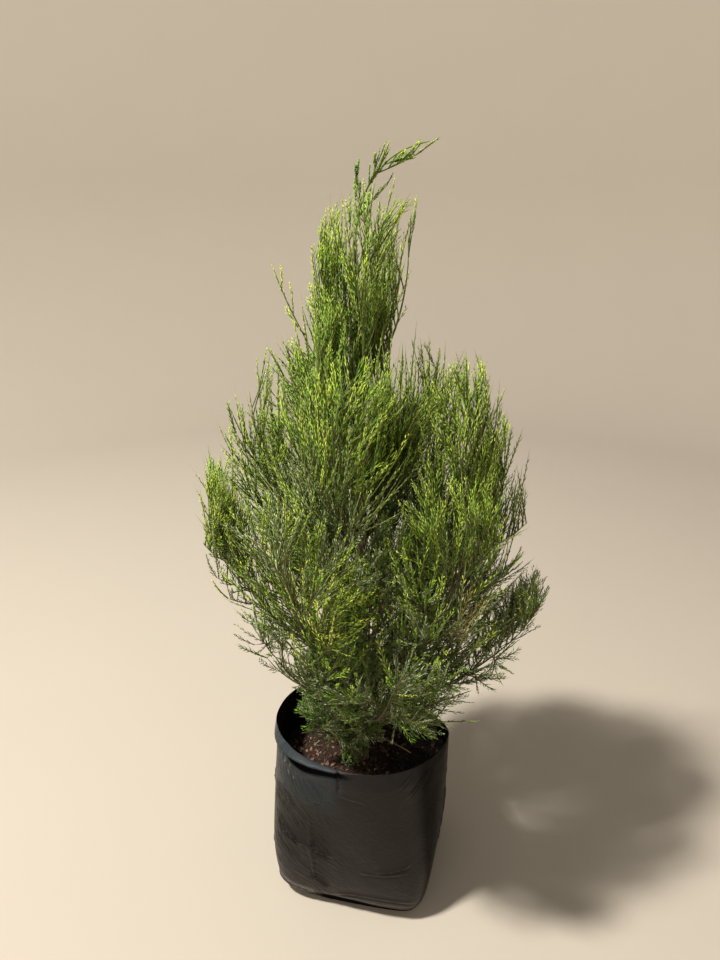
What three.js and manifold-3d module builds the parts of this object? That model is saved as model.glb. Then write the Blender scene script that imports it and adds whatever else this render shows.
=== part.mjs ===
// A young cypress pine in a black film planter bag, in millimetres, +Z up.
// The origin is on the bag's flat underside, straight below the foot of the trunk, and the viewer
// stands on the -Y side.
// Limbs are tapered cylinders bent along curves. Each mass of foliage is one stem with twigs and
// toothed sprays fused to it, grown by a seeded rule inside a space of its own.
import * as THREE from "three";
import { mergeVertices } from "three/addons/utils/BufferGeometryUtils.js";
import Module from "manifold-3d";

const wasm = await Module();
wasm.setup();
const { Manifold, Mesh } = wasm;

const CLEARANCE = 0.35; // between pieces that touch
const UP = new THREE.Vector3(0, 0, 1);
const GOLDEN_ANGLE = 137.508;
const GOLDEN_SHARE = 0.618;

// Planter bag and potting mix
const BAG = {
  facets: 32, // round the bag
  turn: -13, // degrees that the square foot is turned, its right front corner towards the viewer
  shift: 6, // its middle stands this far to the right of the trunk
  wall: 1.6, // film, thicker than life so that it is a solid
  floor: 3,
  sizes: [
    // height, half width and squareness of the section: a square foot, a round mouth
    { z: 0, half: 146, power: 5 },
    { z: 6, half: 155, power: 5 },
    { z: 22, half: 166, power: 4.9 },
    { z: 60, half: 174, power: 4.4 },
    { z: 120, half: 181, power: 3.9 },
    { z: 276, half: 188, power: 2.5 },
  ],
  mouth: { half: 188, power: 2.1 },
  mouthShares: [0.4, 0.67, 0.84, 1], // rings between the potting mix and the rim
  rim: 386, // mean height of the rim
  rimTilt: { rise: 16, towards: -105 }, // the front stands higher
  rimDip: { depth: 86, towards: 52, spread: 58 }, // the back right has slumped
  groove: { depth: 13, share: 0.67, height: 0.17, towards: -137, spread: 30 }, // under the lip
  lip: { out: 5, share: 1, height: 0.14, towards: -137, spread: 30 }, // turned out at the left
};
const MIX = { top: 276, swell: 5, rings: [1, 0.66, 0.24] }; // swell: how far its top is uneven

// Trunk, from a flat cut on the potting mix to its tip in the crown
const TRUNK = {
  foot: MIX.top + CLEARANCE,
  tip: 1372,
  footRadius: 12.5,
  tipRadius: 2.2,
  flare: 9, // extra radius at the cut
  flareHeight: 26,
  sway: 12, // sideways wander of the axis
  sides: 10,
  steps: 16,
};

// Crown outline: how far the tips reach from the trunk at each height, on the right and on the left
const CROWN = [
  { z: 330, right: 200, left: 140 },
  { z: 430, right: 310, left: 190 },
  { z: 530, right: 345, left: 250 },
  { z: 620, right: 380, left: 268 },
  { z: 740, right: 386, left: 272 },
  { z: 800, right: 346, left: 300 },
  { z: 860, right: 356, left: 325 },
  { z: 910, right: 330, left: 332 },
  { z: 1000, right: 305, left: 292 },
  { z: 1060, right: 298, left: 270 },
  { z: 1125, right: 278, left: 235 },
  { z: 1205, right: 200, left: 190 },
  { z: 1245, right: 105, left: 112 },
  { z: 1400, right: 118, left: 92 },
  { z: 1470, right: 136, left: 60 },
  { z: 1545, right: 128, left: 0 },
];

// Tiers of boughs from the bag upwards. foot and footRise place them on the trunk, tip and tipRise
// are the heights that their foliage reaches, reach is a share of the crown's radius there, bow and
// lift bend the path between, and bare is the share of the path that is bough with no foliage.
const TIERS = [
  {
    name: "skirt", count: 5, turn: 12, foot: 334, footRise: 20, tip: 468, tipRise: 48, reach: 0.82,
    bow: 0.55, lift: 0.66, bare: 0.24, radius: 4.2, twigs: 5, sides: 2, twig: 46, spray: 118, spread: 50,
    climb: 0.12,
  },
  {
    name: "low", count: 6, turn: -12, foot: 380, footRise: 50, tip: 700, tipRise: 50, reach: 0.86,
    bow: 0.66, lift: 0.42, bare: 0.26, radius: 5.2, twigs: 5, sides: 2, twig: 60, spray: 140, spread: 50,
    climb: 0.3,
  },
  {
    name: "inner", count: 3, turn: 34, foot: 442, footRise: 16, tip: 880, tipRise: 40, reach: 0.42,
    bow: 1.15, lift: 0.34, bare: 0, radius: 4, twigs: 5, sides: 1, twig: 48, spray: 120, spread: 50,
    climb: 0.5,
  },
  {
    name: "middle", count: 6, turn: 4, foot: 470, footRise: 80, tip: 912, tipRise: 28, reach: 0.87,
    bow: 0.88, lift: 0.38, bare: 0.26, radius: 5.6, twigs: 5, sides: 2, twig: 62, spray: 150, spread: 42,
    climb: 0.6,
  },
  {
    name: "shoulder", count: 5, turn: -24, foot: 630, footRise: 70, tip: 1130, tipRise: 30, reach: 0.86,
    bow: 0.95, lift: 0.4, bare: 0.26, radius: 4.8, twigs: 6, sides: 1, twig: 56, spray: 150, spread: 36,
    climb: 0.8,
  },
  {
    name: "column", count: 4, turn: 40, foot: 800, footRise: 100, tip: 1250, tipRise: 50, reach: 0.62,
    bow: 1.05, lift: 0.3, bare: 0, radius: 3.8, twigs: 6, sides: 1, twig: 34, spray: 134, spread: 28,
    climb: 0.9,
  },
  {
    name: "crest", count: 4, turn: 100, foot: 1060, footRise: 80, tip: 1375, tipRise: 30, reach: 0.74,
    bow: 0.95, lift: 0.36, bare: 0, radius: 3, twigs: 5, sides: 1, twig: 26, spray: 116, spread: 26,
    climb: 0.9,
  },
];
// The leading shoot goes on from the trunk's tip and nods to the right
const LEADER = {
  name: "leader", rise: 146, droop: 1.12, nod: 126, lean: 6, radius: TRUNK.tipRadius, twigs: 4, sides: 0,
  twig: 16, spray: 84, spread: 26, climb: 0.35,
};
const JITTER = 8; // degrees that a limb may stand off its even place round the trunk
const STEM = { tipRadius: 1.8, sides: 4, steps: 3, firstTwig: 0.1, lastTwig: 0.9 };
const BOUGH = { sides: 4, steps: 3, tipShare: 0.62 }; // tipShare: its tip's radius over its foot's
const TWIG = {
  footShare: 0.9, // its radius over the stem's
  sides: 3,
  lengths: [0.85, 1.2], // shares of the tier's length, by chance
  shorten: 0.42, // towards the stem's tip
  attempts: 4,
  attemptTurn: 0.37, // golden angles between attempts
};
// A spray is a toothed blade. One ends each twig, and the others leave it at its sides.
const SPRAY = {
  // Its outline as shares of its length, along and out, with teeth on alternate sides
  outline: [[0, 0], [0.3, 0.12], [0.44, 0.04], [0.68, 0.095], [1, 0], [0.52, -0.12], [0.37, -0.04]],
  tip: 4, // place of its tip in the outline
  half: 0.12,
  thick: 0.022,
  sink: { side: 0.8, end: 4 }, // how far behind its place the root begins, inside the twig
  lengths: [0.85, 1.15], // shares of the tier's length, by chance
  end: { spread: 6, climb: 0.4 }, // degrees off the twig, and share of the tier's climb
  side: { places: [0.3, 0.58], turn: 60, spread: 0.9, climb: 0.5, length: 0.86 }, // places on the twig
  apart: 9, // from the stem, twigs and sprays of its own mass
  freeShares: [0.35, 0.6, 0.85, 1],
  attempts: 6,
};
// Distances that foliage keeps, how far it may pass the crown's outline, and the step of the test
const SPACE = { margin: 2.5, overMix: 8, offFilm: 10, offLimb: 1.2, overhang: 14, limbStep: 8 };

const LOOKS = {
  bark: new THREE.MeshStandardMaterial({ color: 0x6b5647, roughness: 0.9 }),
  film: new THREE.MeshStandardMaterial({ color: 0x2b2825, roughness: 0.4 }),
  mix: new THREE.MeshStandardMaterial({ color: 0x3a2c23, roughness: 0.95 }),
  foliage: new THREE.MeshStandardMaterial({ color: 0x4d7a1f, roughness: 0.65 }),
};

const radians = THREE.MathUtils.degToRad;
const lerp = THREE.MathUtils.lerp;

// A number from 0 to 1 that depends only on the mass, the twig and what it is used for
function chance(mass, twig, use) {
  const wave = Math.sin(mass * 12.9898 + twig * 78.233 + use * 37.719) * 43758.5453;
  return wave - Math.floor(wave);
}

// A bell that is 1 at the middle of a stretch of the rim and 0 on the far side of it
function bell(angle, middle, spread) {
  let off = (angle - middle) % 360;
  if (off > 180) off -= 360;
  if (off < -180) off += 360;
  return Math.exp(-((off / spread) ** 2));
}

// Value of a column of a table at a height, straight between its rows
function atHeight(table, z, column) {
  const last = table.length - 1;
  if (z <= table[0].z) return table[0][column];
  if (z >= table[last].z) return table[last][column];
  const i = table.findIndex((row) => row.z >= z);
  const share = (z - table[i - 1].z) / (table[i].z - table[i - 1].z);
  return lerp(table[i - 1][column], table[i][column], share);
}

function crownRadius(z, azimuth) {
  const toRight = (1 + Math.cos(azimuth)) / 2;
  return lerp(atHeight(CROWN, z, "left"), atHeight(CROWN, z, "right"), toRight);
}

// Solids to and from three.js geometry
function solidFrom(geometry) {
  geometry.deleteAttribute("normal");
  geometry.deleteAttribute("uv");
  const closed = mergeVertices(geometry, 1e-3);
  return new Manifold(new Mesh({
    numProp: 3,
    vertProperties: closed.attributes.position.array,
    triVerts: new Uint32Array(closed.index.array),
  }));
}

function geometryFrom(solid) {
  const { vertProperties, triVerts } = solid.getMesh();
  const geometry = new THREE.BufferGeometry();
  geometry.setAttribute("position", new THREE.BufferAttribute(vertProperties, 3));
  geometry.setIndex(new THREE.BufferAttribute(triVerts, 1));
  geometry.computeVertexNormals();
  return geometry;
}

function named(name, geometry, material) {
  const mesh = new THREE.Mesh(geometry, material);
  mesh.name = name;
  return mesh;
}

// A limb: a cylinder, or a cone where it ends in a point, bent along a curve with a radius at each share
function limb(curve, radiusAt, sides, steps, pointed = false) {
  const shape = pointed
    ? new THREE.ConeGeometry(1, 1, sides, steps)
    : new THREE.CylinderGeometry(1, 1, 1, sides, steps);
  const frames = curve.computeFrenetFrames(steps, false);
  const places = shape.attributes.position;
  const point = new THREE.Vector3();
  for (let i = 0; i < places.count; i++) {
    point.fromBufferAttribute(places, i);
    const share = 0.5 + point.y;
    const ring = Math.round(share * steps);
    const around = Math.atan2(point.x, point.z);
    const onAxis = Math.hypot(point.x, point.z) < 1e-6;
    const radius = onAxis ? 0 : radiusAt(share);
    point.copy(curve.getPointAt(share));
    point.addScaledVector(frames.normals[ring], radius * Math.cos(around));
    point.addScaledVector(frames.binormals[ring], radius * Math.sin(around));
    places.setXYZ(i, point.x, point.y, point.z);
  }
  return solidFrom(facingOut(shape));
}

// Turns the faces round where the bent frame has mirrored them
function facingOut(geometry) {
  const index = geometry.index.array;
  const places = geometry.attributes.position;
  const corner = [0, 1, 2].map(() => new THREE.Vector3());
  let volume = 0;
  for (let i = 0; i < index.length; i += 3) {
    corner.forEach((c, k) => c.fromBufferAttribute(places, index[i + k]));
    volume += corner[0].dot(corner[1].cross(corner[2]));
  }
  if (volume < 0) {
    for (let i = 0; i < index.length; i += 3) {
      [index[i + 1], index[i + 2]] = [index[i + 2], index[i + 1]];
    }
  }
  return geometry;
}

// Trunk. Its axis starts upright and wanders further to the sides the higher it gets.
class TrunkAxis extends THREE.Curve {
  getPoint(share, target = new THREE.Vector3()) {
    const wander = TRUNK.sway * share;
    const z = lerp(TRUNK.foot, TRUNK.tip, share);
    return target.set(wander * Math.sin(4 * share), 0.6 * wander * Math.sin(7 * share), z);
  }
}

function trunkRadius(share, extra = 0) {
  const { footRadius, tipRadius, flare, flareHeight, foot, tip } = TRUNK;
  const height = share * (tip - foot);
  return lerp(footRadius, tipRadius, share) + flare * Math.exp(-height / flareHeight) + extra;
}

const trunkAxis = new TrunkAxis();
const trunkPoint = (z) => trunkAxis.getPoint((z - TRUNK.foot) / (TRUNK.tip - TRUNK.foot));
const trunkSolid = (extra = 0) =>
  limb(trunkAxis, (share) => trunkRadius(share, extra), TRUNK.sides, TRUNK.steps);
const keptOffTrunk = trunkSolid(CLEARANCE);

// Planter bag and potting mix, both as stacks of rings
function rimHeight(angle) {
  const { rim, rimTilt, rimDip } = BAG;
  const tilt = rimTilt.rise * Math.cos(radians(angle - rimTilt.towards));
  return rim + tilt - rimDip.depth * bell(angle, rimDip.towards, rimDip.spread);
}

function sectionRadius(angle, half, power) {
  const a = radians(angle - BAG.turn);
  return half * (Math.abs(Math.cos(a)) ** power + Math.abs(Math.sin(a)) ** power) ** (-1 / power);
}

// The groove and the lip near the rim, as a change of radius at a share of the way from the mix to the rim
function rimRelief(angle, share) {
  const wave = ({ share: middle, height, towards, spread }) =>
    Math.exp(-(((share - middle) / height) ** 2)) * bell(angle, towards, spread);
  return BAG.lip.out * wave(BAG.lip) - BAG.groove.depth * wave(BAG.groove);
}

const FACET_ANGLES = Array.from({ length: BAG.facets }, (_, i) => (360 * i) / BAG.facets);

// A point on the bag at an angle and a distance from its middle
function bagPoint(angle, radius, z) {
  const [x, y] = [radius * Math.cos(radians(angle)), radius * Math.sin(radians(angle))];
  return new THREE.Vector3(BAG.shift + x, y, z);
}

// Points round the bag at one height; inset moves them inwards
function sideRing(z, inset) {
  const [half, power] = ["half", "power"].map((column) => atHeight(BAG.sizes, z, column));
  return FACET_ANGLES.map((angle) => bagPoint(angle, sectionRadius(angle, half, power) - inset, z));
}

// The same at a share of the way from the top of the potting mix to the rim
function mouthRing(share, inset) {
  const low = BAG.sizes[BAG.sizes.length - 1];
  const [half, power] = ["half", "power"].map((column) => lerp(low[column], BAG.mouth[column], share));
  return FACET_ANGLES.map((angle) => {
    const radius = sectionRadius(angle, half, power) + rimRelief(angle, share) - inset;
    return bagPoint(angle, radius, lerp(low.z, rimHeight(angle), share));
  });
}

// A closed skin over a stack of rings that begins and ends at a middle point. Its squares are halved
// the same way going up as coming down, so that the potting mix fits the inside of the bag.
function skin(rings, first, last) {
  const count = rings[0].length;
  const points = [first, ...rings.flat(), last];
  const end = points.length - 1;
  const at = (ring, i) => 1 + ring * count + (i % count);
  const faces = [];
  for (let i = 0; i < count; i++) {
    faces.push(0, at(0, i + 1), at(0, i));
    for (let ring = 0; ring + 1 < rings.length; ring++) {
      const [a, b, c, d] = [at(ring, i), at(ring, i + 1), at(ring + 1, i + 1), at(ring + 1, i)];
      const falling = rings[ring + 1][i].z < rings[ring][i].z;
      faces.push(...(falling ? [a, b, d, b, c, d] : [a, b, c, a, c, d]));
    }
    faces.push(end, at(rings.length - 1, i), at(rings.length - 1, i + 1));
  }
  const geometry = new THREE.BufferGeometry().setFromPoints(points);
  geometry.setIndex(faces);
  return geometry;
}

function planterBag() {
  const outside = BAG.sizes.map(({ z }) => sideRing(z, 0));
  const mouthOutside = BAG.mouthShares.map((share) => mouthRing(share, 0));
  const mouthInside = BAG.mouthShares.map((share) => mouthRing(share, BAG.wall)).reverse();
  const inside = BAG.sizes.filter(({ z }) => z > BAG.floor).map(({ z }) => sideRing(z, BAG.wall)).reverse();
  const floor = sideRing(BAG.floor, BAG.wall);
  const rings = [...outside, ...mouthOutside, ...mouthInside, ...inside, floor];
  const bottom = new THREE.Vector3(0, 0, 0);
  const floorMiddle = new THREE.Vector3(0, 0, BAG.floor);
  return skin(rings, bottom, floorMiddle);
}

function pottingMix() {
  const inset = BAG.wall + CLEARANCE;
  const low = BAG.floor + CLEARANCE;
  const heights = [low, ...BAG.sizes.map(({ z }) => z).filter((z) => z > low && z < MIX.top), MIX.top];
  const sides = heights.map((z) => sideRing(z, inset));
  const top = MIX.rings.slice(1).map((share) => sides[sides.length - 1].map((p, i) => {
    const spot = p.clone().multiplyScalar(share);
    const fade = THREE.MathUtils.smoothstep(share, 0.24, 0.7);
    spot.z = MIX.top - MIX.swell * fade * chance(9, i, Math.round(10 * share));
    return spot;
  }));
  return skin([...sides, ...top], new THREE.Vector3(0, 0, low), new THREE.Vector3(0, 0, MIX.top));
}

// Paths of the boughs and of the stems that go on from them
function limbPath(tier, number) {
  const index = TIERS.indexOf(tier) * 10 + number;
  const even = tier.turn + (360 * number) / tier.count;
  const azimuth = radians(even + JITTER * (2 * chance(index, 0, 1) - 1));
  const foot = tier.foot + tier.footRise * ((number * GOLDEN_SHARE) % 1);
  const tip = tier.tip + tier.tipRise * (2 * chance(index, 0, 2) - 1);
  const reach = tier.reach * crownRadius(tip, azimuth);
  const at = (radius, z) => new THREE.Vector3(radius * Math.cos(azimuth), radius * Math.sin(azimuth), z);
  const start = trunkPoint(foot);
  const middle = at(reach * tier.bow, lerp(foot, tip, tier.lift));
  return { index, azimuth, curve: new THREE.QuadraticBezierCurve3(start, middle, at(reach, tip)) };
}

// The part of a bent path between two shares of it, which is a bent path too
function stretch(curve, from, to) {
  const middle = curve.v0.clone().multiplyScalar((1 - from) * (1 - to));
  middle.addScaledVector(curve.v1, from * (1 - to) + to * (1 - from)).addScaledVector(curve.v2, from * to);
  return new THREE.QuadraticBezierCurve3(curve.getPoint(from), middle, curve.getPoint(to));
}

// The share of a path that the clearance takes, where the bough ends and its foliage begins
function clearanceShare(curve, at) {
  const small = 0.01;
  return (CLEARANCE * small) / curve.getPoint(at).distanceTo(curve.getPoint(at + small));
}

function leaderCurve() {
  const start = trunkAxis.getPoint(1).addScaledVector(UP, 1.5 * CLEARANCE);
  const middle = start.clone().addScaledVector(UP, LEADER.rise);
  middle.x += LEADER.lean;
  const end = start.clone().addScaledVector(UP, LEADER.droop * LEADER.rise);
  end.x += LEADER.nod;
  return new THREE.QuadraticBezierCurve3(start, middle, end);
}

// Every mass: its tier, its limb's path, and the stem that its twigs grow on
function layOut() {
  const masses = [];
  for (const tier of TIERS) {
    for (let number = 0; number < tier.count; number++) {
      const { index, azimuth, curve } = limbPath(tier, number);
      const gap = tier.bare ? clearanceShare(curve, tier.bare) : 0;
      masses.push({
        tier, index, azimuth,
        title: `${tier.name}_${number + 1}`,
        bough: tier.bare ? stretch(curve, 0, tier.bare) : null,
        stem: stretch(curve, tier.bare + gap, 1),
      });
    }
  }
  masses.push({ tier: LEADER, index: 90, azimuth: 0, title: "leader", bough: null, stem: leaderCurve() });
  return masses;
}

const masses = layOut();
masses.forEach((mass) => {
  mass.line = mass.stem.getSpacedPoints(5);
});

// Points along the trunk and the boughs with the radius there, for keeping foliage off them
function limbPoints() {
  const found = [];
  const walk = (curve, radiusAt) => {
    const steps = Math.ceil(curve.getLength() / SPACE.limbStep);
    for (let i = 0; i <= steps; i++) {
      found.push({ point: curve.getPointAt(i / steps), radius: radiusAt(i / steps) });
    }
  };
  walk(trunkAxis, trunkRadius);
  masses.filter(({ bough }) => bough).forEach(({ bough, tier }) => walk(bough, (s) => boughRadius(tier, s)));
  return found;
}

function boughRadius(tier, share) {
  return tier.radius * lerp(1, BOUGH.tipShare, share);
}

function stemRadius(tier, share) {
  return lerp(tier.radius * (tier.bare ? BOUGH.tipShare : 1), STEM.tipRadius, share);
}

const limbs = limbPoints();
const leg = new THREE.Line3();
const nearest = new THREE.Vector3();

function distanceToLine(point, line) {
  let least = Infinity;
  for (let i = 0; i + 1 < line.length; i++) {
    leg.set(line[i], line[i + 1]).closestPointToPoint(point, true, nearest);
    least = Math.min(least, nearest.distanceTo(point));
  }
  return least;
}

// A point keeps to a mass's space if it is nearer to that mass's stem than to any other, inside the
// crown's outline, above the potting mix, and off the film of the bag
function inSpace(point, mass) {
  const radius = Math.hypot(point.x, point.y);
  const azimuth = Math.atan2(point.y, point.x);
  if (radius > crownRadius(point.z, azimuth) + SPACE.overhang) return false;
  if (point.z < MIX.top + SPACE.overMix) return false;
  const x = point.x - BAG.shift;
  const angle = THREE.MathUtils.radToDeg(Math.atan2(point.y, x));
  if (point.z < rimHeight(angle) + SPACE.offFilm) {
    const film = sectionRadius(angle, BAG.mouth.half, BAG.mouth.power);
    if (Math.hypot(x, point.y) > film - BAG.groove.depth - SPACE.offFilm) return false;
  }
  const own = distanceToLine(point, mass.line) + SPACE.margin;
  return masses.every((other) => other === mass || distanceToLine(point, other.line) > own);
}

// A straight piece of some half width is clear of the trunk and of every bough
function clearOfLimbs(root, tip, half) {
  leg.set(root, tip);
  return limbs.every(({ point, radius }) => {
    leg.closestPointToPoint(point, true, nearest);
    return nearest.distanceTo(point) > radius + half + SPACE.offLimb;
  });
}

// A direction across an axis, at a turn round it
function across(axis, turn) {
  const side = Math.abs(axis.z) > 0.9 ? new THREE.Vector3(1, 0, 0) : UP;
  return new THREE.Vector3().crossVectors(axis, side).normalize().applyAxisAngle(axis, turn);
}

// A direction that leaves an axis at an angle and is then lifted towards the sky
function leaving(axis, turn, spread, climb) {
  const out = axis.clone().multiplyScalar(Math.cos(spread));
  out.addScaledVector(across(axis, turn), Math.sin(spread));
  return out.addScaledVector(UP, climb).normalize();
}

// A toothed blade from root along a direction. Its outline lies flat, and it is thickest in the middle
function sprayPoints(root, direction, length, roll) {
  const side = across(direction, roll);
  const face = new THREE.Vector3().crossVectors(direction, side);
  const spot = (along, out, up) => root.clone()
    .addScaledVector(direction, along * length)
    .addScaledVector(side, out * length)
    .addScaledVector(face, up * length);
  const outline = SPRAY.outline.map(([along, out]) => spot(along, out, 0));
  return { outline, top: spot(0.48, 0, SPRAY.thick / 2), bottom: spot(0.48, 0, -SPRAY.thick / 2) };
}

function spraySolid({ outline, top, bottom }) {
  const geometry = new THREE.BufferGeometry().setFromPoints([...outline, top, bottom]);
  const count = outline.length;
  const faces = [];
  for (let i = 0; i < count; i++) {
    const next = (i + 1) % count;
    faces.push(i, next, count + 1, next, i, count);
  }
  geometry.setIndex(faces);
  return solidFrom(facingOut(geometry));
}

// A spray keeps apart from the stem, the twigs and the sprays that its mass has already, past its root
function apartFromOwn(mass, root, tip) {
  return SPRAY.freeShares.every((share) => {
    const spot = root.clone().lerp(tip, share);
    return mass.taken.every((line) => {
      line.closestPointToPoint(spot, true, nearest);
      return nearest.distanceTo(spot) > SPRAY.apart;
    });
  });
}

// Adds a spray at a place on a twig, in the first direction in which all of it keeps to the space,
// clear of the limbs and apart from its neighbours. Where there is none, no spray grows.
function growSpray(mass, pieces, place, axis, spread, climb, length, turn, sink) {
  for (let attempt = 0; attempt < SPRAY.attempts; attempt++) {
    const tryTurn = turn + radians(GOLDEN_ANGLE * attempt);
    const direction = leaving(axis, tryTurn, spread, climb);
    const root = place.clone().addScaledVector(direction, -sink);
    const points = sprayPoints(root, direction, length, tryTurn);
    const tip = points.outline[SPRAY.tip];
    if (!apartFromOwn(mass, root, tip)) continue;
    const tested = [...points.outline.slice(1), points.top];
    if (!tested.every((p) => inSpace(p, mass))) continue;
    if (!clearOfLimbs(root, tip, SPRAY.half * length)) continue;
    pieces.push(spraySolid(points));
    mass.taken.push(new THREE.Line3(root, tip));
    return;
  }
}

// One twig with a spray on each side and one at its end
function growTwig(mass, pieces, number) {
  const { tier, index, stem } = mass;
  const share = lerp(STEM.firstTwig, STEM.lastTwig, (number + 0.5) / tier.twigs);
  const root = stem.getPointAt(share);
  const axis = stem.getTangentAt(share);
  const length = tier.twig * (1 - TWIG.shorten * share) * lerp(...TWIG.lengths, chance(index, number, 4));
  const spread = radians(tier.spread);
  const radius = TWIG.footShare * stemRadius(tier, share);
  for (let attempt = 0; attempt < TWIG.attempts; attempt++) {
    const turn = mass.azimuth + radians(GOLDEN_ANGLE * (number + attempt * TWIG.attemptTurn));
    const direction = leaving(axis, turn, spread, tier.climb);
    const tip = root.clone().addScaledVector(direction, length);
    if (!inSpace(tip, mass) || !clearOfLimbs(root, tip, radius)) continue;
    const line = new THREE.LineCurve3(root, tip);
    pieces.push(limb(line, (along) => radius * (1 - along), TWIG.sides, 1, true));
    mass.taken.push(new THREE.Line3(root, tip));
    const { end, side, sink, lengths } = SPRAY;
    const full = tier.spray * lerp(...lengths, chance(index, number, 5));
    const [endSpread, endClimb] = [radians(end.spread), tier.climb * end.climb];
    growSpray(mass, pieces, tip, direction, endSpread, endClimb, full, turn, sink.end);
    side.places.slice(0, tier.sides).forEach((along, i) => {
      const sideTurn = turn + radians(180 * i + side.turn);
      const place = line.getPoint(along);
      const [open, climb, short] = [spread * side.spread, tier.climb * side.climb, full * side.length];
      growSpray(mass, pieces, place, direction, open, climb, short, sideTurn, sink.side);
    });
    return;
  }
}

// A mass of foliage: its stem, its twigs and their sprays, fused into one solid
function foliage(mass) {
  const { tier, stem } = mass;
  mass.taken = mass.line.slice(1, -1).map((point, i) => new THREE.Line3(mass.line[i], point));
  const pieces = [limb(stem, (share) => stemRadius(tier, share), STEM.sides, STEM.steps, true)];
  for (let number = 0; number < tier.twigs; number++) growTwig(mass, pieces, number);
  const { end, sink } = SPRAY;
  const [last, axis] = [stem.getPointAt(STEM.lastTwig), stem.getTangentAt(1)];
  growSpray(mass, pieces, last, axis, radians(end.spread), 0, tier.spray, mass.azimuth, sink.end);
  const fused = Manifold.union(pieces).subtract(keptOffTrunk);
  const bodies = fused.decompose().sort((a, b) => b.volume() - a.volume());
  return geometryFrom(bodies[0]);
}

function bough({ tier, bough: curve }) {
  const whole = limb(curve, (share) => boughRadius(tier, share), BOUGH.sides, BOUGH.steps);
  return geometryFrom(whole.subtract(keptOffTrunk));
}

function cypressPine() {
  const tree = new THREE.Group();
  tree.add(named("planter_bag", planterBag(), LOOKS.film));
  tree.add(named("potting_mix", pottingMix(), LOOKS.mix));
  tree.add(named("trunk", geometryFrom(trunkSolid()), LOOKS.bark));
  for (const mass of masses) {
    if (mass.bough) tree.add(named(`bough_${mass.title}`, bough(mass), LOOKS.bark));
    tree.add(named(`foliage_${mass.title}`, foliage(mass), LOOKS.foliage));
  }
  return tree;
}

export default cypressPine();
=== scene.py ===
"""A young cypress pine in a black film planter bag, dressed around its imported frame.

Lengths are metres. Angles in tables and round the bag are degrees, and those that limbs, twigs and
shoots are grown with are radians. +Z is up, and the viewer stands on the -Y side. The limbs, the
spaces of the foliage masses and the bag follow the same rule and the same driving sizes as the
part's solids, and are carried on here to bark, wrinkles, twigs, shoots and the rows of small
branchlets along them.
"""
import math

import bpy
import numpy as np
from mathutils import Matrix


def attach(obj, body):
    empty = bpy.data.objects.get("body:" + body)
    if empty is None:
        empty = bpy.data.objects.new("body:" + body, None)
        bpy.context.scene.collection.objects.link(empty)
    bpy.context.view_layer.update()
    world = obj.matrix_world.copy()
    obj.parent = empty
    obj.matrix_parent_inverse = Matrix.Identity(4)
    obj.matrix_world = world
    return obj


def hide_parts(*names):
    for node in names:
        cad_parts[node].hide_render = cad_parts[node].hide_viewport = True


bl_info = {
    "name": "Young cypress pine in a planter bag",
    "version": (1, 0, 0),
    "blender": (4, 5, 0),
    "location": "3D View > Sidebar > Cypress Pine",
    "description": "Builds the bark, foliage, potting mix and film bag of a young cypress pine",
    "category": "Add Mesh",
}

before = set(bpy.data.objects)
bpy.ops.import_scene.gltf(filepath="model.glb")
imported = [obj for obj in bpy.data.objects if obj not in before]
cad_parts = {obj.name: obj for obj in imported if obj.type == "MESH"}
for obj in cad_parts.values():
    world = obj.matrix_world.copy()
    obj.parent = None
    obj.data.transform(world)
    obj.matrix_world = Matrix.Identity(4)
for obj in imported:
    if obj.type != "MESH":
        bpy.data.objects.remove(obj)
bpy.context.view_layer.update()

UP = np.array([0.0, 0.0, 1.0])
SIDEWAYS = np.array([1.0, 0.0, 0.0])
GOLDEN_TURN = math.radians(137.508)
GOLDEN_SHARE = 0.618

# Planter bag. Its section is a rounded square at the foot and nearly a circle at the mouth.
BAG = {
    "turn": -13,  # of the square foot, which brings its right front corner towards the viewer
    "shift": 0.006,  # its middle stands this far to the right of the trunk
    "half": 0.1885,  # half width far above the foot
    "tapers": ((0.027, 0.085), (0.0155, 0.009)),  # lost at the foot, and the height over which it fades
    "squareness": (2.1, 2.9, 0.2),  # power at the mouth, gained at the foot, height over which it fades
    "rim": 0.386,
    "rim_tilt": (0.016, -105),  # rise and the side that stands higher
    "rim_dip": (0.086, 52, 58),  # depth, middle and spread of the slumped stretch at the back right
    "lip": (-135, 30),  # middle and spread of the stretch of rim that is turned out
}
MIX_TOP = 0.276
MIX_SWELL = 0.005
CLEARANCE = 0.00035

TRUNK = {
    "foot": MIX_TOP + CLEARANCE, "tip": 1.372, "foot_radius": 0.0125, "tip_radius": 0.0022,
    "flare": 0.009, "flare_height": 0.026, "sway": 0.012,
}

# Crown outline: height, and how far the tips reach from the trunk on the right and on the left
CROWN = np.array([
    (0.330, 0.200, 0.140), (0.430, 0.310, 0.190), (0.530, 0.345, 0.250), (0.620, 0.380, 0.268),
    (0.740, 0.386, 0.272), (0.800, 0.346, 0.300), (0.860, 0.356, 0.325), (0.910, 0.330, 0.332),
    (1.000, 0.305, 0.292), (1.060, 0.298, 0.270), (1.125, 0.278, 0.235), (1.205, 0.200, 0.190),
    (1.245, 0.105, 0.112), (1.400, 0.118, 0.092), (1.470, 0.136, 0.060), (1.545, 0.128, 0.000),
])

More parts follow.
